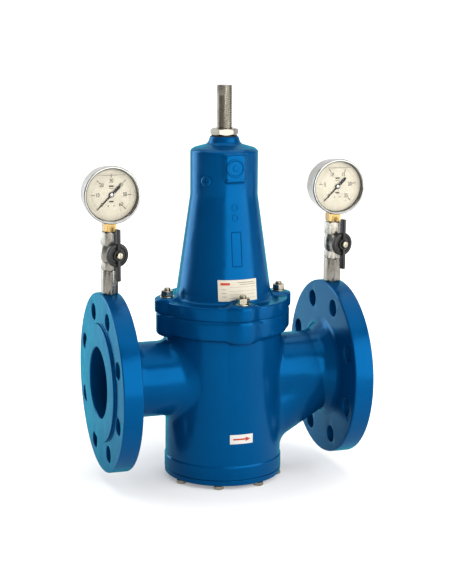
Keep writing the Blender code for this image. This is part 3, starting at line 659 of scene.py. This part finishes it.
def bore_cutter(side, start, throat, full):
    """The bore of one end, widening from its throat to full size and opening at the face."""
    mouth = [(BORE, FACE - 1), (BORE + 1, FACE), (BORE + 1, FACE + 2), (0, FACE + 2)]
    outline = [(0, start), (33, start), (33, throat), (BORE, full), *mouth]
    return moved(lathed(outline, 1.2), along_x(side))


def inlet_room():
    """Inlet bore and the chamber above the seat, as one cutter."""
    room = loose_object("room", lathed([(0, -30), (56, -30), (56, 56), (0, 56)], 5))
    combined(room, [rounded_box((42, -90, -60), (90, 90, 90), 1)], "DIFFERENCE")
    return combined(room, [bore_cutter(-1, 20, 60, 110)], "UNION")


def outlet_room():
    """Outlet bore, slanted passage and the chamber below the seat, as one cutter."""
    slant = lathed([(0, -6), (34, -6), (34, 95), (0, 95)], 3)
    turn = Matrix.Rotation(-pi / 2 - SKIRT_ANGLE, 4, "Y")
    room = loose_object("room", moved(slant, shift(SKIRT_START - 5) @ turn))
    combined(room, [rounded_box((-90, -90, -37), (48, 90, 90), 1)], "DIFFERENCE")
    chamber = lathed([(0, BODY_BOTTOM - 2), (56, BODY_BOTTOM - 2), (56, -38), (0, -38)], 4)
    return combined(room, [bore_cutter(1, 60, 95, 120), chamber], "UNION")


def valve_body():
    """The cast body: turned barrel and flanges joined by filleted necks, then bored."""
    body = loose_object("valve_body_casting", barrel_core())
    saddle = skin(saddle_field, (-122, -82, -112), (122, 82, 80), 2.0)
    combined(body, [saddle, flanged_end(-1), flanged_end(1)], "UNION")
    liner = turned([(0, 54), (45, 54), (45, 68), (52, 68), (52, 90), (0, 90)])
    seat = rod(33, -44, -20)
    cutters = [inlet_room(), outlet_room(), liner, seat, flange_cutters(-1), flange_cutters(1)]
    combined(body, cutters, "DIFFERENCE")
    piece("body_casting", body, "epoxy_blue", ["valve_body"], sharp=CAST_ANGLE)


# ---- bonnet


def cone_radius(height):
    """Outer radius of the bonnet's cone at a height."""
    share = (height - CONE_FOOT[1]) / (CONE_HEAD[1] - CONE_FOOT[1])
    return CONE_FOOT[0] + share * (CONE_HEAD[0] - CONE_FOOT[0])


def lug_field(points):
    """The joint flange with its four stud lugs, running up into the cone with cast fillets."""
    reach = np.sqrt(points[..., 0] ** 2 + points[..., 1] ** 2)
    height = points[..., 2]
    cone = (reach - cone_radius(height) + 0.3) * cos(CONE_SLOPE)
    cone = np.maximum(cone, np.maximum(76 - height, height - 108))
    plate = rod_field(points, (0, 0, BONNET_BOTTOM + 0.2), (0, 0, 1), TOP_RING - 0.3, 14.1, 2)
    whole = joined(cone, plate, 6)
    for x, y in on_circle(LUG_CIRCLE, 4):
        whole = joined(whole, rod_field(points, (x, y, 75.3), (0, 0, 1), 14, 16.1, 2.2), 9)
    return whole


def pad_field(points):
    """The flat pad on the front of the bonnet's head, with a ledge along its lower end."""
    head = rod_field(points, (0, 0, 214), (0, 0, 1), 37.45, 39, 3)
    pad = box_field(points, (-11.5, -PAD_FRONT, 224.5), (11.5, -28, 252), 3)
    ledge = box_field(points, (-11.0, -PAD_FRONT - 1.4, 221.8), (11.0, -28, 225.6), 1.6)
    return joined(joined(head, pad, 6), ledge, 1.5)


def bonnet_core():
    """The bonnet turned to its outline, inside and out."""
    outline = [
        (46, BONNET_BOTTOM), (TOP_RING, BONNET_BOTTOM), (TOP_RING, 89.6), (CONE_FOOT[0] + 2, 89.6),
        (CONE_FOOT[0] - 0.6, 97), CONE_HEAD, (37.5, 253.6), (34.0, 256.4), (20.0, 260.4), (17.6, 263),
        (15.6, BOSS_TOP), (9.3, BOSS_TOP), (9.3, 247), (30.8, 247), (30.8, 205), (46, 92.6),
    ]
    radii = [0, 0.7, 2, 5, 4, 40, 3.5, 8, 4, 4, 1.4, 0.8, 0, 4, 10, 0]
    return lathed(outline, radii, FINE, 7)


def spring_bonnet():
    """Cast bonnet: turned shell, lugs, front pad and the raised disc on the pad."""
    bonnet = loose_object("bonnet_casting", bonnet_core())
    lugs = skin(lug_field, (-84, -84, 70), (84, 84, 112), 1.8)
    combined(lugs, [turned([(0, 60), (48, 60), (48, 93), (44.5, 120), (0, 120)])], "DIFFERENCE")
    pad = skin(pad_field, (-42, -46, 208), (42, 42, 258), 1.4)
    combined(pad, [rod(32.5, 200, 262)], "DIFFERENCE")
    rim = [(10.4, 34), (10.4, 40.9), (8.7, 40.9), (7.8, 40.1), (3.4, 40.1), (2.7, 40.5)]
    disc = lathed([(0, 34), *rim, (0, 40.5)], 0.8, SMALL)
    moved(disc, shift(0, 0, PAD_DISC_Z) @ FACING_FRONT)
    combined(bonnet, [lugs, pad, disc], "UNION")
    holes = [moved(rod(4.4, 60, 99, SMALL), shift(x, y)) for x, y in on_circle(LUG_CIRCLE, 4)]
    combined(bonnet, [merged(*holes)], "DIFFERENCE")
    piece("bonnet_casting", bonnet, "epoxy_blue", ["spring_bonnet"], sharp=CAST_ANGLE)


def on_cone(across, height, lift):
    """A point on the cone's front: across is measured along the surface."""
    reach = cone_radius(height) + lift
    angle = across / reach
    return (reach * sin(angle), -reach * cos(angle), height)


def raised_bar(start, end, width, lift):
    """A raised rounded bar between two (across, height) points on the cone."""
    mesh_data = bmesh.new()
    first, last = Vector(start), Vector(end)
    way = (last - first).normalized()
    side = Vector((-way.y, way.x))
    rows = []
    section = [(-1, -0.6), (-0.9, 0.25), (-0.55, 0.8), (0, 1), (0.55, 0.8), (0.9, 0.25), (1, -0.6)]
    steps = max(3, int((last - first).length / 2))
    for step in range(steps + 1):
        middle = first + (last - first) * step / steps
        row = []
        for offset, rise in section:
            spot = middle + side * offset * width / 2
            row.append(mesh_data.verts.new(on_cone(spot.x, spot.y, rise * lift)))
        rows.append(row)
    for lower, upper in zip(rows, rows[1:]):
        bridge(mesh_data, lower, upper)
    mesh_data.faces.new(rows[0])
    mesh_data.faces.new(rows[-1])
    return mesh_data


def cast_marks():
    """Blank raised frame and two plain rings, cast on the front of the cone."""
    left, right, low, high = -5.4, 5.4, 131.0, 168.0
    corners = [(left, low), (right, low), (right, high), (left, high)]
    bars = [raised_bar(a, b, 1.2, 0.65) for a, b in zip(corners, corners[1:] + corners[:1])]
    piece("cast_frame", merged(*bars), "epoxy_blue")
    rings = []
    lean = Matrix.Rotation(-CONE_SLOPE, 4, "X")
    for height in (183.5, 194.5):
        ring = ring_on(-1.4, 0.7, 2.1, 4.1, 0.5, SMALL)
        rings.append(moved(ring, shift(0, -cone_radius(height), height) @ lean @ FACING_FRONT))
    piece("cast_rings", merged(*rings), "epoxy_blue")


def vent_plug():
    """Low round plug with a cross recess, at the left of the bonnet's head."""
    plug = [(0, 31.5), (3.5, 31.5), (3.5, 37.6), (6, 37.6), (6, 39.4), (4.6, 40.2), (0, 40.2)]
    made = loose_object("vent_plug_head", lathed(plug, 0.6, SMALL, 3))
    combined(made, cross_recess(3.6, 0.7, 38.9, 42, 0.2), "DIFFERENCE")
    turn = Matrix.Rotation(-VENT_ANGLE, 4, "Z") @ FACING_FRONT
    made.data.transform(shift(0, 0, VENT_Z) @ turn)
    piece("vent_plug_head", made, "epoxy_blue", ["vent_plug"])


# ---- fasteners and adjusting screw


def threaded_rod(radius, pitch, low, high, segments=SMALL):
    """A rod with a real helical thread and a chamfer at each end."""
    depth = 0.58 * pitch
    rows = int((high - low) / pitch * 8)
    mesh_data = bmesh.new()
    rings = [[mesh_data.verts.new((0, 0, low))]]
    for row in range(rows + 1):
        height = low + (high - low) * row / rows
        limit = radius - depth * 1.1 + 1.2 * min(height - low, high - height)
        ring = []
        for step in range(segments):
            phase = (height / pitch - step / segments) % 1
            flank = min(max(4 * abs(phase - 0.5) - 0.5, 0), 1)
            reach = min(radius - depth * flank, max(limit, radius - depth * 1.1))
            angle = tau * step / segments
            ring.append(mesh_data.verts.new((reach * cos(angle), reach * sin(angle), height)))
        rings.append(ring)
    rings.append([mesh_data.verts.new((0, 0, high))])
    for lower, upper in zip(rings, rings[1:]):
        bridge(mesh_data, lower, upper)
    return mesh_data


def bonnet_fasteners():
    """Threaded studs, flat washers and hexagon nuts on the four lugs."""
    for index, (x, y) in enumerate(on_circle(LUG_CIRCLE, 4), 1):
        place = shift(x, y)
        turn = place @ Matrix.Rotation(radians(12 + 31 * index), 4, "Z")
        stud = moved(threaded_rod(**STUD), place)
        piece(f"stud_{index}", stud, "zinc_plated_steel", [f"bonnet_stud_{index}"])
        nut = moved(hexagon(13, 93.3, 99.7, 4.15), turn)
        piece(f"nut_{index}", nut, "zinc_plated_steel", [f"bonnet_nut_{index}"])
        washer = moved(ring_on(91.7, 93.2, 4.3, 8, 0.35, SMALL), place)
        piece(f"washer_{index}", washer, "zinc_plated_steel")


def adjusting_screw():
    """Screw with a helical thread and two spanner flats, its lock nut and the ring under the nut."""
    screw = loose_object("screw_thread", threaded_rod(**SCREW))
    for left, right in ((7, 12), (-12, -7)):
        combined(screw, [rounded_box((left, -12, 315), (right, 12, 330), 0.5)], "DIFFERENCE")
    screw.data.transform(Matrix.Rotation(FLATS_TURN, 4, "Z"))
    threads = {"body": "adjusting_screw", "sharp": radians(50)}
    piece("screw_thread", screw, "stainless_steel", ["adjusting_screw"], **threads)
    nut = moved(hexagon(27, 270.4, 277.7, 9.3), Matrix.Rotation(LOCK_NUT_TURN, 4, "Z"))
    piece("lock_nut_hexagon", nut, "stainless_steel", ["lock_nut"], "lock_nut")
    seal = ring_on(269.3, 270.1, 9.5, 14.5, 0.3)
    piece("lock_seal_ring", seal, "rubber", ["lock_nut_seal"], "lock_nut_seal")


def bottom_cover():
    """Bottom cover with rounded edges and the heads of its eight bolts."""
    outline = [
        (0, -113), (66, -113), (66.5, -107), (52, -107), (52, -99.5), (48, -99.5), (48, -105.5),
        (16, -105.5), (16, -86), (10.3, -86), (10.3, -110.3), (0, -110.3),
    ]
    radii = [0, 1.6, 0.6, 0, 0.5, 0.5, 0.5, 1, 0.5, 0.5, 0, 0]
    cover = loose_object("cover_plate", lathed(outline, radii, FINE))
    centres = on_circle(COVER_SCREW_CIRCLE, 8, pi / 8)
    holes = [moved(rod(3.2, -118, -100, SMALL), shift(x, y)) for x, y in centres]
    combined(cover, [merged(*holes)], "DIFFERENCE")
    piece("cover_plate", cover, "epoxy_blue", ["bottom_cover"])
    for index, (x, y) in enumerate(centres):
        bolt = moved(merged(hexagon(10, -117.3, -113.3), rod(2.9, -113.4, -96, SMALL)), shift(x, y))
        stands_for = [f"cover_bolt_{index // 2 + 1}"] if index % 2 == 0 else []
        piece(f"cover_screw_{index + 1}", bolt, "zinc_plated_steel", stands_for)


# ---- spring


def spring_half(name, upper):
    """Half of the main spring, from the middle to its upper or lower end; it is taken off its rigid body
    and its transform is baked.
    """
    middle = (SPRING_LOW + SPRING_HIGH) / 2
    close = 2 * WIRE_RADIUS + 0.6
    pitch = (SPRING_HIGH - SPRING_LOW - 2 * close) / (SPRING_TURNS - 2)
    mesh_data = bmesh.new()
    rings = []
    steps = 48
    for step in range(int(SPRING_TURNS * steps) + 1):
        turn = step / steps
        active = min(max(turn - 1, 0), SPRING_TURNS - 2)
        height = SPRING_LOW + close * (turn - active) + pitch * active
        if (height >= middle - 0.3) != upper and abs(height - middle) > 0.3:
            continue
        ring = []
        for side in range(16):
            around = tau * side / 16
            reach = SPRING_RADIUS + WIRE_RADIUS * cos(around)
            x, y = reach * cos(tau * turn), reach * sin(tau * turn)
            ring.append(mesh_data.verts.new((x, y, height + WIRE_RADIUS * sin(around))))
        rings.append(ring)
    for before, after in zip(rings, rings[1:]):
        bridge(mesh_data, before, after)
    mesh_data.faces.new(rings[0])
    mesh_data.faces.new(rings[-1])
    made = piece(name, mesh_data, "spring_steel", ["main_spring"])
    made.parent = None
    del made["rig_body"]
    if upper:
        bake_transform(made)
    else:
        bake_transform(made)


# ---- labels


def on_barrel(across, height, lift):
    """A point on the barrel's front: across is measured along the surface."""
    reach = BARREL + lift
    return (reach * sin(across / reach), -reach * cos(across / reach), height)


def patch(place, left, right, low, high, lift, thickness, lean=0.0, columns=12):
    """A thin closed sheet on a curved surface; lean pulls its right end to a point."""
    mesh_data = bmesh.new()
    sheets = []
    for rise in (lift, lift + thickness):
        sheet = []
        for column in range(columns + 1):
            share = column / columns
            middle = (low + high) / 2
            half = (high - low) / 2 * (1 - lean * share)
            across = left + (right - left) * share
            sheet.append([mesh_data.verts.new(place(across, middle + k * half, rise)) for k in (-1, 1)])
        sheets.append(sheet)
    inner, outer = sheets
    for column in range(columns):
        a, b = inner[column], inner[column + 1]
        c, d = outer[column], outer[column + 1]
        mesh_data.faces.new((a[0], a[1], b[1], b[0]))
        mesh_data.faces.new((c[0], d[0], d[1], c[1]))
        mesh_data.faces.new((a[0], b[0], d[0], c[0]))
        mesh_data.faces.new((a[1], c[1], d[1], b[1]))
    for column in (0, columns):
        a, c = inner[column], outer[column]
        mesh_data.faces.new((a[0], c[0], c[1], a[1]))
    return mesh_data


def labels():
    """Data label with plain bars in place of print, and the flow label with its arrow."""
    half = 23.0
    low, high = 93.6, 116.8
    sheet = patch(on_cone, -half, half, low, high, 0.3, 0.4, columns=24)
    piece("data_label_foil", sheet, "label_foil", ["data_label"])
    bars = [(-1.0, 19.5, high - 3.4, high - 2.5), (1.5, 21.0, high - 5.4, high - 4.7)]
    bars += [(-19.0, -14.0, high - drop, high - drop + 0.7) for drop in (10.6, 14.6, 18.4)]
    bars += [(-10.0, 20.5, high - drop, high - drop + 0.3) for drop in (8.0, 12.2, 16.0, 19.8)]
    prints = [patch(on_cone, a, b, c, d, 0.72, 0.05) for a, b, c, d in bars]
    piece("data_label_print", merged(*prints), "label_foil", material="print_grey")
    mark = patch(on_cone, -20.0, -9.5, high - 5.6, high - 3.0, 0.72, 0.05)
    piece("data_label_mark", mark, "label_foil", material="print_red")
    low, high = -64.5, -54.0
    half = 13.4
    sheet = patch(on_barrel, -half, half, low, high, 0.3, 0.35, columns=24)
    piece("flow_label_foil", sheet, "label_foil", ["flow_label"], material="label_white")
    middle = (low + high) / 2
    shaft = patch(on_barrel, -9.8, 5.0, middle - 0.9, middle + 0.9, 0.67, 0.05)
    head = patch(on_barrel, 4.6, 10.2, middle - 2.6, middle + 2.6, 0.67, 0.05, lean=0.96)
    piece("flow_arrow", merged(shaft, head), "label_foil", material="print_red")


# ---- gauge sets


def text_mesh(words, size):
    """A number as a flat mesh centred on the origin."""
    curve = bpy.data.curves.new("number", "FONT")
    curve.body = words
    curve.size = size
    curve.align_x = "CENTER"
    curve.align_y = "CENTER"
    curve.extrude = 0.02
    curve.offset = 0.09
    curve.resolution_u = 4
    holder = linked("number", curve)
    mesh = evaluated_mesh(holder)
    mesh_data = bmesh.new()
    mesh_data.from_mesh(mesh)
    bpy.data.objects.remove(holder)
    bpy.data.curves.remove(curve)
    bpy.data.meshes.remove(mesh)
    return moved(mesh_data, Matrix.Diagonal((0.78, 1, 1, 1)))


def at_scale(share, radius):
    """A point on the dial at a share of the scale, clockwise from its start."""
    angle = SCALE_START + SCALE_SWEEP * share
    return Vector((radius * sin(angle), radius * cos(angle)))


def dial_tick(share, inner, outer, width):
    """One radial line on the dial."""
    start, end = at_scale(share, inner), at_scale(share, outer)
    side = Vector((start.y, -start.x)).normalized() * width / 2
    outline = [start - side, start + side, end + side, end - side]
    return flat_plate([(p.x, p.y) for p in outline], *PRINT_LEVELS)


def flat_plate(outline, low, high):
    """A flat plate with the given outline."""
    mesh_data = bmesh.new()
    base = [mesh_data.verts.new((x, y, low)) for x, y in outline]
    top = [mesh_data.verts.new((x, y, high)) for x, y in outline]
    mesh_data.faces.new(base)
    mesh_data.faces.new(top)
    bridge(mesh_data, base, top)
    return mesh_data


def dial_print(top_value, step):
    """Numbers, ticks and plain bars of a dial whose scale runs from 0 to its top value."""
    parts = []
    minor = 60 if top_value == 60 else 50
    for k in range(minor + 1):
        if k % 5:
            parts.append(dial_tick(k / minor, 20.6, 22.0, 0.25))
    count = top_value // step
    for k in range(count + 1):
        parts.append(dial_tick(k / count, 18.4, 22.6, 0.75))
        spot = at_scale(k / count, 15.2)
        parts.append(moved(text_mesh(str(k * step), 6.0), shift(spot.x, spot.y, 6.34)))
    bars = ((0, 9.4, 5.2, 1.6), (0, 6.9, 5.2, 0.5), (0, -7.2, 5.0, 1.5), (10.2, -16.6, 1.2, 0.7))
    for x, y, width, height in bars:
        left, right, low, high = x - width / 2, x + width / 2, y - height / 2, y + height / 2
        outline = [(left, low), (right, low), (right, high), (left, high)]
        parts.append(flat_plate(outline, *PRINT_LEVELS))
    for x in (-3.4, 3.0):
        parts.append(moved(rod(0.7, *PRINT_LEVELS, 16), shift(x, -12.0)))
    return merged(*parts)


def pointer_mesh():
    """Tapered needle with a thick rounded tail, on its hub, pointing up."""
    angles = [-pi * k / 8 for k in range(9)]
    tail = [(1.6 * cos(angle), -12.1 + 1.6 * sin(angle)) for angle in angles]
    right = [(0.28, 23), (0.95, 1.5), (1.0, -2.6), (1.6, -4.2)]
    outline = [*right, *tail, *[(-x, y) for x, y in reversed(right)]]
    needle = loose_object("needle", flat_plate(outline, 7.0, 7.6))
    hub = lathed([(0, -3), (1.1, -3), (1.1, 6.6), (2.9, 6.6), (2.9, 7.9), (0, 7.9)], 0.3, SMALL, 3)
    combined(needle, [hub], "UNION")
    return needle


def gauge_case(word, place):
    """Turned case shell and the rolled bezel that closes over its rim."""
    case = [
        (0, -16), (26.5, -16), (29.6, -13), (29.6, 5.3), (29.1, 8.3), (28.4, 8.3), (28.4, -12),
        (25.4, -14.8), (0, -14.8),
    ]
    shell = moved(lathed(case, [0, 3, 2.5, 0.4, 0.4, 0.2, 1, 1, 0]), place)
    piece(f"{word}_case_shell", shell, "polished_stainless", [f"{word}_gauge_case"])
    bezel = [
        (29.9, 5.6), (31.5, 5.6), (31.5, 10.6), (30.8, 12.0), (29.6, 12.2), (28.4, 11.2),
        (28.4, 10.1), (29.9, 10.1),
    ]
    ring = moved(lathed(bezel, [0.3, 0.5, 1.6, 1.0, 0.6, 0.4, 0.2, 0], FINE, 4), place)
    piece(f"{word}_bezel_ring", ring, "polished_stainless", [f"{word}_gauge_bezel"])


def gauge(word, side, top_value, step):
    """One liquid-filled gauge: case, dial with its print, window and pointer."""
    place = shift(side * GAUGE_X, -GAUGE_FORWARD, GAUGE_Z) @ FACING_FRONT
    gauge_case(word, place)
    dial = moved(ring_on(5.6, 6.3, 1.6, 28, 0.1, FINE, 2), place)
    piece(f"{word}_dial_plate", dial, "dial_cream", [f"{word}_gauge_dial"])
    printing = moved(dial_print(top_value, step), place)
    piece(f"{word}_dial_print", printing, "dial_cream", material="print_black")
    window = moved(lathed([(0, 8.6), (29.5, 8.6), (29.5, 9.8), (0, 9.8)], 0.2, FINE, 2), place)
    piece(f"{word}_window_pane", window, "clear_window", [f"{word}_gauge_window"])
    line = flat_plate([(-15.2, 21.3), (15.2, 21.3), (15.5, 21.75), (-15.5, 21.75)], 8.2, 8.3)
    piece(f"{word}_liquid_line", moved(line, place), "clear_window", material="print_grey")
    needle = pointer_mesh()
    needle.data.transform(place @ Matrix.Rotation(-SCALE_START, 4, "Z"))
    pointer = f"{word}_pointer"
    piece(f"{word}_pointer_needle", needle, "pointer_black", [f"{word}_gauge_pointer"], pointer)
    cap = lathed([(0, 7.85), (1.9, 7.85), (1.9, 8.15), (0, 8.3)], 0.1, SMALL, 3)
    piece(f"{word}_pointer_cap", moved(cap, place), "polished_stainless", body=pointer)


def round_levels(*points):
    """Round sections from (radius, height) points."""
    return [(height, radius, 0, radius) for radius, height in points]


def flat_levels(reach, sides, *limits):
    """Polygon sections from (height, round limit) pairs."""
    return [(height, reach, sides, limit) for height, limit in limits]


def cock_body_levels():
    """Sections of the cock body along its own axis, from the spigot to the gauge end."""
    levels = round_levels((3, -30.5), (4.7, -30.5), (5, -30), (5, -18.3))
    levels += flat_levels(8.5, 6, (-18.3, 8.5), (-17.5, 9.8), (-10.2, 9.8), (-9.4, 8.6))
    for step in range(9):
        height = -8.8 + 17.6 * step / 8
        levels += round_levels((7.6 + 2.4 * sqrt(max(0, 1 - (height / 9.4) ** 2)), height))
    levels += flat_levels(8.5, 6, (9.4, 8.6), (10.2, 9.8), (22.9, 9.8), (23.7, 8.5))
    return levels + round_levels((5.4, 23.7), (5.4, 12.5), (3, 11))


def cock_body(word, place):
    """Cast cock body with hexagon ends, a neck for the stem and a round room for the ball."""
    body = loose_object("cock", section_stack(cock_body_levels(), SMALL * 2))
    neck = [(0, 6.5), (6.4, 6.5), (6.4, 11.6), (3.3, 11.6), (3.3, 7.2), (0, 7.2)]
    combined(body, [moved(lathed(neck, 0.4, SMALL, 3), FACING_FRONT)], "UNION")
    angles = [-pi / 2 + pi * k / 12 for k in range(13)]
    room = turned([(7.2 * cos(angle), 7.2 * sin(angle)) for angle in angles], SMALL)
    hole = moved(rod(3.3, 4, 8, SMALL), FACING_FRONT)
    combined(body, [room, hole], "DIFFERENCE")
    body.data.transform(place)
    piece(f"{word}_cock_casting", body, "nickel_plated_brass", [f"{word}_cock_body"])


def cock(word, side):
    """Ball cock with its two-winged handle and the screw that holds the handle."""
    place = shift(side * GAUGE_X, 0, COCK_Z) @ Matrix.Rotation(COCK_TURN, 4, "Z")
    cock_body(word, place)
    hub = [
        (3.3, 12.2), (6, 12.2), (6, 15), (13, 15), (13, 19.4), (9.6, 20.2), (8.8, 18.9), (6.6, 18.9),
        (6, 21.8), (4.2, 21.8), (4.0, 20.9), (3.3, 20.9),
    ]
    radii = [0.3, 0.4, 0.4, 0.8, 1.0, 0.6, 0.4, 0.4, 0.6, 0.4, 0.2, 0.2]
    handle = loose_object("handle", moved(lathed(hub, radii, ROUND, 4), FACING_FRONT))
    for low, high in ((-28.5, -4.4), (4.4, 28.5)):
        combined(handle, [rounded_box((-2, -22.6, low), (2, -15.8, high), 1.2, 4)], "UNION")
    handle.data.transform(place)
    grip = ("black_plastic", [f"{word}_cock_handle"], f"{word}_cock")
    piece(f"{word}_handle_grip", handle, *grip, sharp=radians(45))
    head = [(0, 13), (1.6, 13), (1.6, 21.9), (3.7, 21.9), (3.7, 24), (3.0, 24.8), (0, 24.8)]
    screw = loose_object("screw", lathed(head, [0, 0, 0, 0.2, 0.5, 0.5, 0], SMALL, 3))
    combined(screw, cross_recess(2.2, 0.45, 24.0, 26, 0.1), "DIFFERENCE")
    screw.data.transform(place @ FACING_FRONT)
    bolt = ("zinc_plated_steel", [f"{word}_handle_screw"], f"{word}_cock")
    piece(f"{word}_handle_bolt", screw, *bolt)


def gauge_fittings(word, side):
    """Hexagon nipple in the flange rim, and the brass square and thread under the gauge."""
    place = shift(side * GAUGE_X)
    levels = round_levels((3, 87), (6.3, 87), (6.5, 100.3))
    levels += flat_levels(8.5, 6, (100.3, 8.5), (101.1, 9.82), (125.4, 9.82), (126.2, 8.5))
    levels += round_levels((5.4, 126.2), (5.4, 113.5), (3, 112.5))
    nipple = moved(section_stack(levels), place)
    piece(f"{word}_nipple_hexagon", nipple, "nickel_plated_brass", [f"{word}_gauge_nipple"])
    levels = round_levels((0, 157.6), (4.6, 157.6), (5, 168.4), (6.2, 168.4), (6.4, 168.9))
    levels += flat_levels(6.9, 4, (168.9, 7.6), (169.7, 9.5), (177.9, 9.5), (178.6, 8.4))
    levels += round_levels((5.2, 178.6), (5.2, 186), (0, 186))
    socket = moved(section_stack(levels), place)
    piece(f"{word}_socket_square", socket, "brass", [f"{word}_gauge_socket"])


# ---- camera, light and floor


def camera():
    """The camera, at the viewing angle of a product shot taken from the inlet side."""
    azimuth, elevation, roll = map(radians, (CAMERA_AZIMUTH, CAMERA_ELEVATION, CAMERA_ROLL))
    back = Vector((-sin(azimuth) * cos(elevation), -cos(azimuth) * cos(elevation), sin(elevation)))
    right = Vector((cos(azimuth), -sin(azimuth), 0))
    up = back.cross(right)
    across = cos(roll) * right + sin(roll) * up
    upward = cos(roll) * up - sin(roll) * right
    data = bpy.data.cameras.new("camera")
    data.sensor_width = 36
    data.lens = CAMERA_LENS
    data.clip_start = 0.05
    made = linked("camera", data)
    place = CAMERA_TARGET + back * CAMERA_DISTANCE
    turn = Matrix((across, upward, back)).transposed().to_4x4()
    made.matrix_world = Matrix.Translation(place) @ turn
    bpy.context.scene.camera = made


def softbox(name, azimuth, elevation, distance, width, height, power, colour=(1, 1, 1)):
    """An area lamp around the valve; azimuth 0 is straight in front, positive to the right."""
    a = radians(azimuth)
    e = radians(elevation)
    middle = Vector((0, 0, 0.2))
    way = Vector((sin(a) * cos(e), -cos(a) * cos(e), sin(e)))
    data = bpy.data.lights.new(name, "AREA")
    data.shape = "RECTANGLE"
    data.size = width
    data.size_y = height
    data.energy = power
    data.color = colour
    made = linked(name, data)
    made.location = middle + way * distance
    made.rotation_euler = way.to_track_quat("Z", "Y").to_euler()


def backdrop():
    """A white floor that curves up behind the valve. Its glow is weak close to the valve, a painted
    contact shadow, and stronger away from it, painted light on the floor.
    """
    bend, radius = 1.6, 1.2
    section = [(-3.0, 0.0), (bend, 0.0)]
    for step in range(1, 17):
        angle = pi / 2 * step / 16
        section.append((bend + radius * sin(angle), radius * (1 - cos(angle))))
    section.append((bend + radius, 5.0))
    mesh_data = bmesh.new()
    rows = [[mesh_data.verts.new((x, y, z)) for x in (-6, 6)] for y, z in section]
    for lower, upper in zip(rows, rows[1:]):
        bridge(mesh_data, lower, upper, wrap=False)
    mesh = bpy.data.meshes.new("floor")
    mesh_data.to_mesh(mesh)
    mesh_data.free()
    mesh.shade_smooth()
    floor = linked("floor", mesh)
    material, tree, shader = new_material("floor_white", (0.52, 0.52, 0.52), 0.6)
    tune(shader, {"Specular IOR Level": 0.0, "Emission Color": (1, 1, 1, 1)})
    place = tree.nodes.new("ShaderNodeTexCoord")
    reach = tree.nodes.new("ShaderNodeVectorMath")
    reach.operation = "LENGTH"
    # Emission grows with distance from the valve: low near it as a painted contact shadow, higher
    # further out as painted light.
    painted_shadow_glow = tree.nodes.new("ShaderNodeMapRange")
    tune(painted_shadow_glow, {"From Min": 0.10, "From Max": 0.32, "To Min": 0.26, "To Max": 0.75})
    tree.links.new(place.outputs["Object"], reach.inputs[0])
    tree.links.new(reach.outputs["Value"], painted_shadow_glow.inputs["Value"])
    tree.links.new(painted_shadow_glow.outputs["Result"], shader.inputs["Emission Strength"])
    floor.data.materials.append(material)


def studio():
    """Soft surroundings, three softboxes and a white floor."""
    world = bpy.data.worlds.new("studio")
    bpy.context.scene.world = world
    world.use_nodes = True
    tune(world.node_tree.nodes["Background"], {"Color": (1, 1, 1, 1), "Strength": 0.25})
    softbox("key_light", 26, 12, 1.5, 2.4, 1.5, 62)
    softbox("rim_light", -138, 18, 1.5, 0.9, 1.4, 18, (0.80, 0.92, 1.0))
    softbox("top_light", 0, 88, 2.4, 3.2, 3.2, 66)
    backdrop()
    bpy.context.scene.view_settings.view_transform = "Standard"


def carry_over():
    """Give every CAD node that is still shown its finish from the record's slot."""
    for row in frame["record"]["subparts"]:
        node = frame["nodes"][row["node"]]
        node.data.materials.clear()
        node.data.materials.append(MATERIALS[row["material_slot"]])
        node.data.shade_smooth()
        node.data.set_sharp_from_angle(angle=SHARP_ANGLE)


carry_over()
camera()
studio()
valve_body()
spring_bonnet()
cast_marks()
vent_plug()
bonnet_fasteners()
adjusting_screw()
bottom_cover()
spring_half("spring_upper_half", True)
spring_half("spring_lower_half", False)
labels()
for word, side, top_value, step in (("inlet", -1, 60, 10), ("outlet", 1, 25, 5)):
    gauge_fittings(word, side)
    cock(word, side)
    gauge(word, side, top_value, step)
